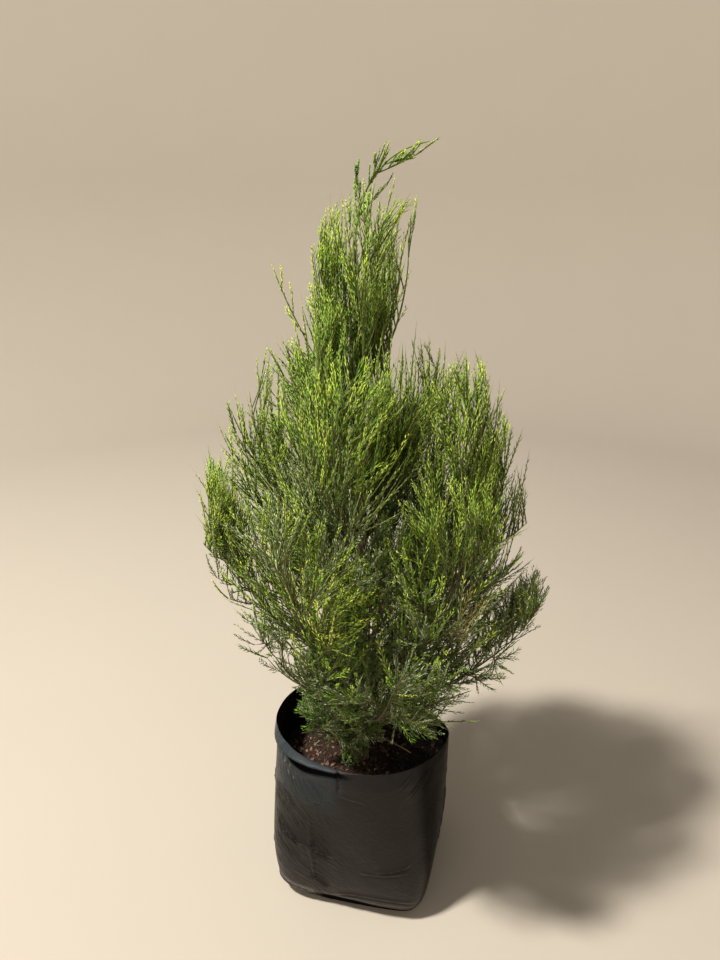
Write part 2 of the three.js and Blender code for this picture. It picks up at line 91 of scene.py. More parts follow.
# Tiers of limbs from the bag upwards, as in the solids. The last columns are for the finer growth:
# twigs is how many twigs a stem bears, shoots how many shoots a twig bears, shoot a shoot's length,
# lift how much growth bends up along its length, and wander how much it strays sideways.
TIER_KEYS = (
    "name", "count", "turn", "foot", "foot_rise", "tip", "tip_rise", "reach", "bow", "bend", "bare",
    "radius", "twig", "spray", "spread", "climb", "twigs", "shoots", "shoot", "lift", "wander",
)
TIERS = [dict(zip(TIER_KEYS, row)) for row in (
    ("skirt", 5, 12, .334, .020, .468, .048, .82, .55, .66, .24, .0042, .046, .118, 50, .12,
     20, 14, .060, .10, .60),
    ("low", 6, -12, .380, .050, .700, .050, .86, .66, .42, .26, .0052, .060, .140, 50, .30,
     27, 15, .072, .25, .50),
    ("inner", 3, 34, .442, .016, .880, .040, .42, 1.15, .34, 0, .0040, .048, .120, 50, .50,
     30, 13, .082, .40, .40),
    ("middle", 6, 4, .470, .080, .912, .028, .87, .88, .38, .26, .0056, .062, .150, 42, .60,
     28, 12, .122, .50, .22),
    ("shoulder", 5, -24, .630, .070, 1.130, .030, .86, .95, .40, .26, .0048, .056, .150, 36, .80,
     29, 12, .135, .60, .16),
    ("column", 4, 40, .800, .100, 1.250, .050, .62, 1.05, .30, 0, .0038, .034, .134, 28, .90,
     24, 11, .120, .30, .30),
    ("crest", 4, 100, 1.060, .080, 1.375, .030, .74, .95, .36, 0, .0030, .026, .116, 26, .90,
     15, 7, .112, .20, .36),
)]
LEADER = {
    "name": "leader", "radius": TRUNK["tip_radius"], "twig": .016, "spray": .084, "spread": 26,
    "climb": .35, "twigs": 12, "shoots": 6, "shoot": .038, "lift": .2, "wander": .2, "bare": 0,
    "rise": .146, "droop": 1.12, "nod": .126, "lean": .006, "index": 90,
}
JITTER = 8  # degrees that a limb may stand off its even turn, to either side
BOUGH_TIP_SHARE = 0.62  # of its radius at the trunk
BARE_TWIGLESS = 0.45  # share of a bare bough that bears no twigs at all
STEM_TIP_RADIUS = 0.0018
STEM_SHARES = (0.02, 0.97)  # of a limb, between which it bears twigs
TWIG_SHORTEN = 0.42  # share by which a twig at a limb's tip is shorter
# A mass's space: its margin to the next one's, how far shoots may reach over that, how far growth keeps
# off the mix, the film and the limbs, and the height that nothing passes
SPACE = {
    "margin": .0025, "overlap": .028, "over_mix": .008, "off_film": .010, "off_limb": .0012,
    "top": 1.548,
}
GROOVE_DEPTH = 0.013  # of the solids' groove under the lip, which growth keeps clear of

# The crown is open between the column and the shoulders: heights, half widths of the opening there, and
# the radius of its middle on the left and on the right
CLEFT = {
    "heights": (1.09, 1.13, 1.21, 1.27, 1.28), "halves": (-1, .012, .032, .040, -1), "middle": (.122, .096),
}
# Where the crown is open low down: a direction, and how far growth reaches that way at heights
LOW_LIMITS = (
    (-90, (0.30, 0.40, 0.50, 0.60), (0.110, 0.130, 0.200, 0.340)),
    (-22, (0.30, 0.40, 0.48, 0.55, 0.62), (0.040, 0.060, 0.115, 0.225, 0.400)),
    (-135, (0.31, 0.40, 0.50, 0.55, 0.62, 0.70), (0.090, 0.125, 0.145, 0.170, 0.240, 0.340)),
    (180, (0.34, 0.44, 0.50, 0.54, 0.60, 0.66, 0.72), (0.110, 0.150, 0.120, 0.110, 0.185, 0.240, 0.320)),
)
# Where the crown is thinner or fuller than its masses' rule makes it: a place, how far that goes along
# each axis, and the share of shoots that are left out there or added (over 1, a clear middle)
THIN = (
    ((-.170, -.050, .600), (.135, .25, .170), .80),
    ((.250, -.050, .490), (.120, .25, .110), .65),
    ((.092, .120, 1.130), (.066, .30, .140), 1.5),
    ((.074, -.170, 1.190), (.058, .20, .105), 1.5),
    ((-.160, .000, 1.090), (.100, .20, .140), .60),
    ((-.100, .000, .900), (.050, .35, .120), .65),
    ((.075, .000, 1.390), (.090, .20, .120), .55),
    ((-.045, .000, 1.420), (.070, .20, .110), .50),
)
FULL = (
    ((.310, -.030, .880), (.100, .25, .160), 1.2),
    ((.340, .000, .690), (.090, .20, .100), .9),
    ((-.280, -.030, .860), (.080, .20, .110), .8),
    ((.070, -.080, 1.010), (.120, .14, .120), .9),
    ((.000, -.160, .860), (.150, .12, .120), .5),
    ((.075, -.170, 1.050), (.090, .12, .075), 1.0),
)


def linear(hexadecimal):
    """Linear red, green and blue of an sRGB hex value."""
    shares = [int(hexadecimal[i:i + 2], 16) / 255 for i in (1, 3, 5)]
    return tuple(s / 12.92 if s <= 0.04045 else ((s + 0.055) / 1.055) ** 2.4 for s in shares)


def lerp(a, b, share):
    """From a at a share of 0 to b at a share of 1: a + (b - a) share."""
    return a + (b - a) * share


def unit(vectors):
    """Vectors brought to a length of one."""
    return vectors / np.maximum(np.linalg.norm(vectors, axis=-1, keepdims=True), 1e-12)


def chance(mass, item, use):
    """A number from 0 to 1 that depends only on the mass, the item and its use: what a large sine has
    after its point."""
    wave = np.sin(mass * 12.9898 + item * 78.233 + use * 37.719) * 43758.5453
    return wave - np.floor(wave)


def turn_from(middle, angle):
    """Signed degrees from a middle to an angle, the shorter way round."""
    return (angle - middle + 180) % 360 - 180


def hump(value, middle, spread):
    """1 at a middle, falling to 0 on both sides: exp(-((value - middle) / spread)^2)."""
    return np.exp(-((value - middle) / spread) ** 2)


def bell(angle, middle, spread):
    """A hump on a circle, whose middle and spread are degrees."""
    return hump(turn_from(middle, angle), 0, spread)


def ease(share):
    """Smooth step from 0 to 1: 3 s^2 - 2 s^3."""
    s = np.clip(share, 0, 1)
    return s * s * (3 - 2 * s)


def cell_noise(u, v, cells, seed):
    """Noise from -1 to 1 on a lattice that wraps after a number of cells in u: the corners' chances,
    blended by a smooth step."""
    iu, iv = np.floor(u), np.floor(v)
    fu, fv = ease(u - iu), ease(v - iv)

    def edge(row):
        """The blend along one row of the lattice."""
        return lerp(chance(iu % cells, row, seed), chance((iu + 1) % cells, row, seed), fu)

    return 2 * lerp(edge(iv), edge(iv + 1), fv) - 1


# Curves. A limb is a quadratic Bezier curve, held as an array of its three control points.
def curve_point(curve, share):
    """(1-t)^2 a + 2 t (1-t) b + t^2 c."""
    t = np.asarray(share)[..., None]
    a, b, c = curve[..., 0, :], curve[..., 1, :], curve[..., 2, :]
    return (1 - t) ** 2 * a + 2 * t * (1 - t) * b + t * t * c


def curve_axis(curve, share):
    """Unit direction of a curve: (1-t) (b-a) + t (c-b)."""
    t = np.asarray(share)[..., None]
    a, b, c = curve[..., 0, :], curve[..., 1, :], curve[..., 2, :]
    return unit((1 - t) * (b - a) + t * (c - b))


def stretch(curve, start, end):
    """The part of a curve between two shares of it, which is a quadratic curve too."""
    a, b, c = curve
    middle = (1 - start) * (1 - end) * a + (start * (1 - end) + end * (1 - start)) * b + start * end * c
    return np.array([curve_point(curve, start), middle, curve_point(curve, end)])


def even_share(curve, share):
    """Curve parameters at shares of a curve's length, read off a table of summed steps."""
    t = np.linspace(0, 1, 65)
    steps = np.linalg.norm(np.diff(curve_point(curve, t), axis=0), axis=1)
    length = np.concatenate([[0], np.cumsum(steps)])
    return np.interp(share, length / length[-1], t)


def across(axis, turn):
    """Unit direction at right angles to an axis, turned round it from the level one."""
    side = np.where(np.abs(axis[..., 2:3]) > 0.9, SIDEWAYS, UP)
    first = unit(np.cross(axis, side))
    turn = np.asarray(turn)[..., None]
    return first * np.cos(turn) + np.cross(axis, first) * np.sin(turn)


def leaving(axis, turn, spread, climb):
    """Unit direction that leaves an axis at an angle and is then lifted towards the sky."""
    spread = np.asarray(spread)[..., None]
    out = axis * np.cos(spread) + across(axis, turn) * np.sin(spread)
    return unit(out + UP * np.asarray(climb)[..., None])


# The plant's plan, by the same rule as the solids
def trunk_point(z):
    """The trunk's axis at a height: it starts upright and wanders further to the sides as it climbs."""
    share = (np.asarray(z) - TRUNK["foot"]) / (TRUNK["tip"] - TRUNK["foot"])
    wander = TRUNK["sway"] * share
    return np.stack([wander * np.sin(4 * share), 0.6 * wander * np.sin(7 * share), z + 0 * share], -1)


def trunk_radius(z):
    """A straight taper with a flare that fades upwards from the cut."""
    height = np.asarray(z) - TRUNK["foot"]
    share = height / (TRUNK["tip"] - TRUNK["foot"])
    taper = lerp(TRUNK["foot_radius"], TRUNK["tip_radius"], share)
    return taper + TRUNK["flare"] * np.exp(-height / TRUNK["flare_height"])


def crown_radius(z, azimuth):
    """How far the crown reaches at a height, eased from its left side to its right side."""
    right = np.interp(z, CROWN[:, 0], CROWN[:, 1])
    left = np.interp(z, CROWN[:, 0], CROWN[:, 2])
    return lerp(left, right, (1 + np.cos(azimuth)) / 2)


def limb_path(row, number):
    """A limb's index, its azimuth and its curve from the trunk's axis to its tip."""
    tier = TIERS[row]
    index = row * 10 + number
    even = tier["turn"] + 360 * number / tier["count"]
    azimuth = math.radians(even + JITTER * (2 * chance(index, 0, 1) - 1))
    foot = tier["foot"] + tier["foot_rise"] * ((number * GOLDEN_SHARE) % 1)
    tip = tier["tip"] + tier["tip_rise"] * (2 * chance(index, 0, 2) - 1)
    reach = tier["reach"] * crown_radius(tip, azimuth)
    out = np.array([math.cos(azimuth), math.sin(azimuth), 0])
    middle = out * reach * tier["bow"] + UP * lerp(foot, tip, tier["bend"])
    return index, azimuth, np.array([trunk_point(foot), middle, out * reach + UP * tip])


def lay_out():
    """Every mass of foliage: its tier, name, index, azimuth, whole limb and stem."""
    found = []
    for row, tier in enumerate(TIERS):
        for number in range(tier["count"]):
            index, azimuth, path = limb_path(row, number)
            found.append({
                "tier": tier, "title": f"{tier['name']}_{number + 1}", "index": index,
                "azimuth": azimuth, "path": path, "stem": stretch(path, tier["bare"], 1),
                "limb": stretch(path, BARE_TWIGLESS * tier["bare"], 1),
            })
    start = trunk_point(TRUNK["tip"])
    middle = start + UP * LEADER["rise"] + SIDEWAYS * LEADER["lean"]
    end = start + UP * LEADER["droop"] * LEADER["rise"] + SIDEWAYS * LEADER["nod"]
    path = np.array([start, middle, end])
    found.append({
        "tier": LEADER, "title": "leader", "index": LEADER["index"], "azimuth": 0.0, "path": path,
        "stem": path, "limb": path,
    })
    return found


MASSES = lay_out()
STEM_LINES = np.array([
    curve_point(m["limb"], even_share(m["limb"], np.linspace(0, 1, 7))) for m in MASSES
])


def bough_radius(tier, share):
    """A straight taper from the trunk to the bough's tip."""
    return tier["radius"] * lerp(1, BOUGH_TIP_SHARE, share)


def stem_radius(tier, share):
    """A straight taper that starts as thick as the bough's tip, or as the limb where no bough is bare."""
    foot = tier["radius"] * (BOUGH_TIP_SHARE if tier["bare"] else 1)
    return lerp(foot, STEM_TIP_RADIUS, share)


def limb_points():
    """Points along the trunk and the boughs, with the radius there, for keeping foliage off them."""
    z = np.arange(TRUNK["foot"], TRUNK["tip"], 0.008)
    points, radii = [trunk_point(z)], [trunk_radius(z)]
    share = np.linspace(0, 1, 12)
    for m in MASSES:
        if m["tier"]["bare"]:
            points.append(curve_point(m["path"], m["tier"]["bare"] * share))
            radii.append(bough_radius(m["tier"], share))
    return np.concatenate(points).astype(np.float32), np.concatenate(radii).astype(np.float32)


LIMB_POINTS, LIMB_RADII = limb_points()


# Bag surface
def rim_height(angle):
    """Height of the rim: a tilted circle with a slump at the back right."""
    rise, towards = BAG["rim_tilt"]
    depth, middle, spread = BAG["rim_dip"]
    tilt = rise * np.cos(np.radians(angle - towards))
    return BAG["rim"] + tilt - depth * bell(angle, middle, spread)


def section_radius(angle, z):
    """A superellipse |cos|^p + |sin|^p whose half width shrinks and whose power grows to the foot."""
    half = BAG["half"] - sum(lost * np.exp(-z / height) for lost, height in BAG["tapers"])
    mouth, gained, height = BAG["squareness"]
    power = mouth + gained * hump(z, 0, height)
    a = np.radians(angle - BAG["turn"])
    return half * (np.abs(np.cos(a)) ** power + np.abs(np.sin(a)) ** power) ** (-1 / power)


# Foliage spaces
def line_distance(points, lines):
    """Distance from each point to each line of straight legs."""
    least = np.full((len(points), len(lines)), np.inf)
    for leg in range(lines.shape[1] - 1):
        start = lines[:, leg]
        along = lines[:, leg + 1] - start
        away = points[:, None] - start
        share = np.clip((away * along).sum(-1) / (along ** 2).sum(-1), 0, 1)
        gap = np.linalg.norm(away - share[..., None] * along, axis=-1)
        least = np.minimum(least, gap)
    return least


def in_space(points, mass, within, margin):
    """Whether points are nearer to their own stem than to any other by a margin, inside the crown's
    outline by some distance (which counts upwards too), above the potting mix and off the film."""
    x, y, z = points.T
    azimuth, radius = np.arctan2(y, x), np.hypot(x, y)
    inside = crown_radius(z + np.maximum(0, within), azimuth) - np.where(within > 0, 0.5, 1) * within
    good = (radius <= inside) & (z + np.maximum(0, within) <= SPACE["top"])
    middle = lerp(*CLEFT["middle"], (1 + np.cos(azimuth)) / 2)
    good &= (np.abs(radius - middle) > np.interp(z, CLEFT["heights"], CLEFT["halves"])) | (within < 0)
    good &= z >= MIX_TOP + SPACE["over_mix"]
    for way, heights, reaches in LOW_LIMITS:
        out = x * math.cos(math.radians(way)) + y * math.sin(math.radians(way))
        good &= (out <= np.interp(z, heights, reaches)) | (z > heights[-1])
    x = x - BAG["shift"]
    angle = np.degrees(np.arctan2(y, x))
    film = section_radius(angle, BAG["rim"]) - GROOVE_DEPTH - SPACE["off_film"]
    good &= (z >= rim_height(angle) + SPACE["off_film"]) | (np.hypot(x, y) <= film)
    gaps = line_distance(points, STEM_LINES)
    own = gaps[np.arange(len(points)), mass]
    gaps[np.arange(len(points)), mass] = np.inf
    return good & (gaps.min(1) > own + margin)


def clear_of_limbs(root, tip, half):
    """Whether straight pieces of some half width are clear of the trunk and of every bough."""
    root, along = root.astype(np.float32), (tip - root).astype(np.float32)
    size = np.maximum((along ** 2).sum(-1), 1e-9)
    away = LIMB_POINTS[None] - root[:, None]
    share = np.clip((away * along[:, None]).sum(-1) / size[:, None], 0, 1)
    gap = np.linalg.norm(away - share[..., None] * along[:, None], axis=-1)
    return (gap > LIMB_RADII + half + SPACE["off_limb"]).all(1)


# Meshes
def skins(rings, first, last):
    """Closed skins over stacks of rings. rings is (skins, rings, points round, 3), counter-clockwise
    seen from the last ring's side, and each skin begins at a first point and ends at a last one."""
    count, levels, around = rings.shape[:3]
    size = levels * around + 2
    points = np.concatenate([first[:, None], rings.reshape(count, -1, 3), last[:, None]], 1)
    i = np.arange(around)
    n = (i + 1) % around
    cap = np.stack([0 * i, 1 + n, 1 + i], -1)
    top = 1 + (levels - 1) * around
    tail = np.stack([0 * i + size - 1, top + i, top + n], -1)
    low = (1 + around * np.arange(levels - 1))[:, None]
    a, b, c, d = low + i, low + n, low + around + n, low + around + i
    sides = np.stack([a, b, c, a, c, d], -1).reshape(-1, 3)
    pattern = np.concatenate([cap, sides, tail])
    faces = pattern[None] + (size * np.arange(count))[:, None, None]
    return points.reshape(-1, 3), faces.reshape(-1, 3)


def frame_along(axis):
    """Two unit directions at right angles to each axis along a path and to each other: the level one at
    the path's start less its part along each axis, and the cross product of the two."""
    level = across(axis[..., :1, :], 0)
    side = unit(level - (level * axis).sum(-1, keepdims=True) * axis)
    return side, np.cross(axis, side)


def circles(middle, side, other, radius, turn):
    """Points round each middle: middle + radius (side cos turn + other sin turn)."""
    turn = turn[:, None]
    out = side[..., None, :] * np.cos(turn) + other[..., None, :] * np.sin(turn)
    return middle[..., None, :] + radius * out


def tubes(curves, foot, tip, around, levels):
    """Tapered round tubes along curves, with a cone from the last ring to the end. Each ring stands
    square to the curve, and its radius runs evenly from the foot's to the tip's."""
    share = np.broadcast_to(np.linspace(0, 1, levels + 1)[:-1], (len(curves), levels))
    middle = curve_point(curves[:, None], share)
    side, other = frame_along(curve_axis(curves[:, None], share))
    radius = (foot[:, None] + (tip - foot)[:, None] * share)[..., None, None]
    turn = np.arange(around) * 2 * math.pi / around
    return skins(circles(middle, side, other, radius, turn), middle[:, 0], curves[:, 2])


def together(parts):
    """Several (points, faces) as one, with the faces renumbered."""
    starts = np.cumsum([0] + [len(points) for points, _ in parts[:-1]])
    return (
        np.concatenate([points for points, _ in parts]),
        np.concatenate([faces + start for (_, faces), start in zip(parts, starts)]),
    )


def add_object(name, data):
    """A new object in the scene, at the origin, with a mesh, a light or a camera as its data."""
    made = bpy.data.objects.new(name, data)
    bpy.context.scene.collection.objects.link(made)
    return made


def make_piece(name, points, faces, material, slot, nodes=()):
    """Puts a mesh of triangles into the scene as a smooth piece of the plant."""
    mesh = bpy.data.meshes.new(name)
    mesh.vertices.add(len(points))
    mesh.vertices.foreach_set("co", np.ascontiguousarray(points, np.float32).ravel())
    mesh.loops.add(faces.size)
    mesh.loops.foreach_set("vertex_index", np.ascontiguousarray(faces, np.int32).ravel())
    mesh.polygons.add(len(faces))
    mesh.polygons.foreach_set("loop_start", np.arange(0, faces.size, 3, dtype=np.int32))
    mesh.polygons.foreach_set("use_smooth", np.ones(len(faces), bool))
    mesh.update(calc_edges=True)
    mesh.materials.append(material)
    piece = add_object(name, mesh)
    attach(piece, "root")
    if nodes:
        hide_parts(*nodes)
    return piece


# Materials
# Settings that many nodes share
TIMES = {"operation": "MULTIPLY"}
PLUS = {"operation": "ADD"}
MINUS = {"operation": "SUBTRACT"}
EASED = {"interpolation_type": "SMOOTHSTEP"}
BLEND = {"data_type": "RGBA", "out": 2}  # its first input is the share, 6 and 7 are the two colours


def node(tree, kind, inputs=(), out=0, **settings):
    """Adds a shader node with its settings, sets or links its inputs, which are given by name or in
    order, and gives one of its outputs."""
    made = tree.nodes.new("ShaderNode" + kind)
    for name, value in settings.items():
        setattr(made, name, value)
    for name, value in inputs.items() if isinstance(inputs, dict) else enumerate(inputs):
        if isinstance(value, bpy.types.NodeSocket):
            tree.links.new(value, made.inputs[name])
        else:
            made.inputs[name].default_value = value
    return made.outputs[out] if made.outputs else made


def surface(name, pattern, *looks):
    """A material whose pattern turns Object coordinates and its looks into the shader's inputs."""
    material = bpy.data.materials.new(name)
    material.use_nodes = True
    tree = material.node_tree
    tree.nodes.clear()
    shader = node(tree, "BsdfPrincipled", pattern(tree, node(tree, "TexCoord", out="Object"), *looks))
    node(tree, "OutputMaterial", {"Surface": shader})
    return material


def opaque(colour):
    """A colour with a full alpha, as a colour socket takes it."""
    return (*colour[:3], 1.0)


def toned(colour, factor):
    """A colour made lighter or darker by a factor, up to white."""
    return tuple(min(1.0, c * factor) for c in colour[:3])


# Where the film's looks ease from one value to another, by its height, by its side (metres round the bag
# from +X, below -0.4 at the left front) or by how deep in the groove it is: from, to, and the value at each
FILM_EASES = {
    "dusty": ("height", 0.12, 0.0, 0.03, 0.30),
    "off_floor": ("height", 0.017, 0.025, 0.0, 1.0),
    "scuffed": ("height", 0.348, 0.362, 0.0, 0.22),
    "on_lip": ("height", 0.362, 0.368, 0.0, 1.0),
    "lip_end": ("side", -0.490, -0.515, 0.0, 1.0),
    "in_crease": ("height", 0.056, 0.046, 0.0, 1.0),
    "crease_end": ("side", -0.400, -0.425, 0.0, 1.0),
    # painted reflection of the sky: a bluish colour on the smooth stretch under the lip, and more on the
    # lip itself
    "panel": ("height", 0.262, 0.318, 0.0, 0.5),
    "lip": ("height", 0.352, 0.358, 0.0, 0.4),
    "left_front": ("side", -0.330, -0.372, 0.0, 1.0),
    "open": ("hollow", 0.1, 0.5, 1.0, 0.0),
    # painted shade: the film goes nearly black in the groove, which the lip shades
    "groove": ("hollow", 0.2, 0.7, 0.0, 0.8),
    "pulled": ("side", -0.34, -0.47, 0.06, 1.3),
    "below_lip": ("height", 0.352, 0.335, 0.1, 1.0),
    "lit": ("side", -0.205, -0.160, 0.21, 0.05),
    "shining": ("hollow", 0.1, 0.45, 1.0, 0.05),
}
FILM_ROUGHNESS = (0.26, 0.44)
POLISH = (0.14, 0.6)  # roughness that a polished place loses, and sheen that it gains
# Real sizes of the film's patterns, in metres
DUST_PATCH, SCUFF, CRINKLE = 0.05, 0.012, 0.022
DRAWN_LINE = (0.11, 0.0105, 1.0)  # length and spacing; the finest real lines are too fine to show
DRAWN_SLANT = math.radians(-40)
FILM_BUMP = 0.0026


def polythene_film(tree, place, settings):
    """Blown polythene film, black with a warm tint. It gives the eye a soft sheen, fine drawn lines that
    slant down from the left where the bag was pulled, small crinkles, pale dust towards the foot, a painted
    bluish reflection of the sky on the lip, and painted shade in the groove."""
    flat = node(tree, "UVMap", uv_map="unrolled")
    by = {
        "height": node(tree, "SeparateXYZ", (place,), "Z"),
        "side": node(tree, "SeparateXYZ", (flat,), "X"),
        "hollow": node(tree, "Attribute", out="Fac", attribute_name="hollow"),
    }
    eased = {
        name: node(tree, "MapRange", (by[measure], *reach), **EASED)
        for name, (measure, *reach) in FILM_EASES.items()
    }
    # The left end of the lip and the crease at the left of the foot are polished
    lip_end = node(tree, "Math", (eased["on_lip"], eased["lip_end"]), **TIMES)
    crease = node(tree, "Math", (eased["in_crease"], eased["crease_end"]), **TIMES)
    polish = node(tree, "Math", (lip_end, crease), operation="MAXIMUM")
    return {
        "Base Color": film_colour(tree, place, eased, settings),
        "Roughness": film_roughness(tree, place, eased, lip_end, polish),
        "Normal": film_bump(tree, place, flat, eased),
        "Specular IOR Level": film_sheen(tree, eased, polish), "IOR": 1.51,
    }


def film_colour(tree, place, eased, settings):
    """Dust low down but for the very foot, a painted bluish reflection of the sky on the lip and less so on
    the smooth stretch under it, and painted shade in the groove: each a blend by a product of eased shares."""
    dust = node(tree, "TexNoise", {
        "Vector": place, "Scale": 1 / DUST_PATCH, "Detail": 5.0, "Roughness": 0.6,
    })
    for share in ("dusty", "off_floor"):
        dust = node(tree, "Math", (dust, eased[share]), **TIMES)
    # Painted reflection of the sky: a bluish colour on the lip and the smooth stretch under it, at the left
    # front and out of the groove
    sky_reflection = node(tree, "Math", (eased["panel"], eased["lip"]), **PLUS)
    for share in ("left_front", "open"):
        sky_reflection = node(tree, "Math", (sky_reflection, eased[share]), **TIMES)
    colour = opaque(settings.film)
    # The last blend is painted shade: the groove under the lip, which the lip shades, goes nearly black
    for share, tone in ((dust, settings.dust), (sky_reflection, settings.panel), (eased["groove"], settings.deep)):
        colour = node(tree, "Mix", {0: share, 6: colour, 7: opaque(tone)}, **BLEND)
    return colour


def film_roughness(tree, place, eased, lip_end, polish):
    """Scuffs, rougher on the lip but for its polished left end: scuff + lip (1 - end) - polish."""
    scuff = node(tree, "TexNoise", {"Vector": place, "Scale": 1 / SCUFF, "Detail": 4.0})
    rough = node(tree, "MapRange", (scuff, 0.0, 1.0, *FILM_ROUGHNESS), **EASED)
    elsewhere = node(tree, "MapRange", (lip_end, 0.0, 1.0, 1.0, 0.0), **EASED)
    duller = node(tree, "Math", (eased["scuffed"], elsewhere), **TIMES)
    rough = node(tree, "Math", (rough, duller), **PLUS)
    return node(tree, "Math", (rough, node(tree, "Math", (polish, POLISH[0]), **TIMES)), **MINUS)


def film_bump(tree, place, flat, eased):
    """Drawn lines, which are the thin crests 1 - 16 |noise - 0.5| of a noise that is stretched along a
    slant, strongest at the left front and faint under the lip, and crinkles."""
    slant = node(tree, "Mapping", {
        "Vector": flat, "Rotation": (0.0, 0.0, DRAWN_SLANT), "Scale": DRAWN_LINE,
    }, vector_type="TEXTURE")
    wavy = node(tree, "TexNoise", {"Vector": slant, "Scale": 1.0, "Detail": 1.5, "Distortion": 0.3})
    off_crest = node(tree, "Math", (wavy, 0.5), **MINUS)
    off_crest = node(tree, "Math", (off_crest,), operation="ABSOLUTE")
    crest = node(tree, "Math", (off_crest, -16.0, 1.0), operation="MULTIPLY_ADD", use_clamp=True)
    strength = node(tree, "Math", (eased["pulled"], eased["below_lip"]), **TIMES)
    drawn = node(tree, "Math", (crest, strength), **TIMES)
    crinkle = node(tree, "TexNoise", {
        "Vector": place, "Scale": 1 / CRINKLE, "Detail": 3.0, "Distortion": 1.2,
    })
    small = node(tree, "Math", (crinkle, 0.5), **TIMES)
    height = node(tree, "Math", (drawn, small), **PLUS)
    return node(tree, "Bump", {"Height": height, "Strength": 0.9, "Distance": FILM_BUMP})


def film_sheen(tree, eased, polish):
    """Hardly any sheen in the groove, on the side turned from the light and at the foot's under edge."""
    sheen = node(tree, "Math", (eased["lit"], eased["off_floor"]), **TIMES)
    gained = node(tree, "Math", (polish, POLISH[1]), **TIMES)
    sheen = node(tree, "Math", (sheen, gained), **PLUS)
    return node(tree, "Math", (sheen, eased["shining"]), **TIMES)


STRIP_WIDTH, STRIP_SLENDER = 0.003, 0.16  # drawn coarser than real strips, to show; width by length
BARK_AGE = (0.7, 1.0, 0.0, 0.85)  # heights between which bark turns young, and the shares there


def stringy_bark(tree, place, settings):
    """Young cypress bark. It gives the eye thin, dry, stringy strips, grey-brown over red-brown and
    furrowed lengthways, which are still olive high up."""
    lengthways = node(tree, "Mapping", {"Vector": place, "Scale": (1.0, 1.0, STRIP_SLENDER)})
    strip = node(tree, "TexNoise", {
        "Vector": lengthways, "Scale": 1 / STRIP_WIDTH, "Detail": 6.0, "Roughness": 0.65,
    })
    share = node(tree, "MapRange", (strip, 0.35, 0.65))
    colour = node(tree, "Mix", {0: share, 6: opaque(settings.furrow), 7: opaque(settings.bark)}, **BLEND)
    young = node(tree, "MapRange", (node(tree, "SeparateXYZ", (place,), "Z"), *BARK_AGE), **EASED)
    colour = node(tree, "Mix", {0: young, 6: colour, 7: opaque(settings.young)}, **BLEND)
    bump = node(tree, "Bump", {"Height": strip, "Strength": 0.8, "Distance": 0.0008})
    return {"Base Color": colour, "Roughness": 0.85, "Normal": bump}


# Surfaces of two tones: how light and how dark they are against the surface's colour, the size of a
# patch, the roughness, the height of the relief and the level of the shine
MOTTLES = {
    # Damp mix is nearly black, with crumbs of brown compost
    "damp_potting_mix": (1.5, 0.3, 0.004, 0.95, 0.0012, 0.2),
    # Chips are dull: composted ones dark brown, fresh pine ones pinkish, and a few are dry and pale
    "bark_chips": (1.2, 0.2, 0.003, 0.9, 0.0006, 0.2),
    # Woody twigs are brown low down and as green as the foliage at the top, with a dull thin bark
    "twig_bark": (1.3, 0.65, 0.004, 0.8, 0.0004, 0.5),
    # Scale leaves are waxy and half matte, and their green shifts along a shoot. Single ones, 1 mm long,
    # are too fine to show, so the patches are half as large as a branchlet
    "leaf_scales": (1.18, 0.72, 0.009, 0.6, 0.0006, 0.3),
    # The studio's floor is smooth, matte and almost even
    "plain_floor": (1.0, 0.985, 0.4, 0.9, 0.0, 0.5),
}
PAINTED_SHADE_RIGHT = (0.02, 0.09, 1.0, 0.0)  # painted shade: metres to the right over which a surface loses its light tone, where the foliage shades it
TWIG_AGE = (0.8, 1.35, 0.0, 0.9)  # heights between which twigs turn young, and the shares there


def mottled(tree, place, colour, mottle, damp=False, young=None):
    """Patches of two tones of a colour by a noise, with a relief. With painted shade on the right, a
    surface keeps to its dark tone there, where the foliage shades it, and a young tone takes over high up."""
    light, dark, size, roughness, relief, shine = mottle
    patch = node(tree, "TexNoise", {"Vector": place, "Scale": 1 / size, "Detail": 4.0, "Roughness": 0.6})
    share = node(tree, "MapRange", (patch, 0.3, 0.7))
    if damp:
        # Painted shade: the light tone fades out towards the right, where the foliage shades the mix
        left = node(tree, "MapRange", (node(tree, "SeparateXYZ", (place,), "X"), *PAINTED_SHADE_RIGHT), **EASED)
        share = node(tree, "Math", (share, left), **TIMES)
    tones = {6: opaque(toned(colour, dark)), 7: opaque(toned(colour, light))}
    blend = node(tree, "Mix", {0: share, **tones}, **BLEND)
    if young:
        high = node(tree, "MapRange", (node(tree, "SeparateXYZ", (place,), "Z"), *TWIG_AGE), **EASED)
        blend = node(tree, "Mix", {0: high, 6: blend, 7: opaque(young)}, **BLEND)
    bump = node(tree, "Bump", {"Height": patch, "Strength": 0.6, "Distance": relief})
    return {"Base Color": blend, "Roughness": roughness, "Normal": bump, "Specular IOR Level": shine}


# Settings
def setting(name, description, default, **more):
    """A value that a user can change: a colour for a hex value, a count for a whole number, and else a
    length, unless another unit is given."""
    told = {"name": name, "description": description}
    if isinstance(default, str):
        return bpy.props.FloatVectorProperty(
            default=linear(default), size=3, min=0, max=1, subtype="COLOR", **told)
    if isinstance(default, int):
        return bpy.props.IntProperty(default=default, min=1, **told)
    return bpy.props.FloatProperty(default=default, min=0, **{"unit": "LENGTH", **more}, **told)


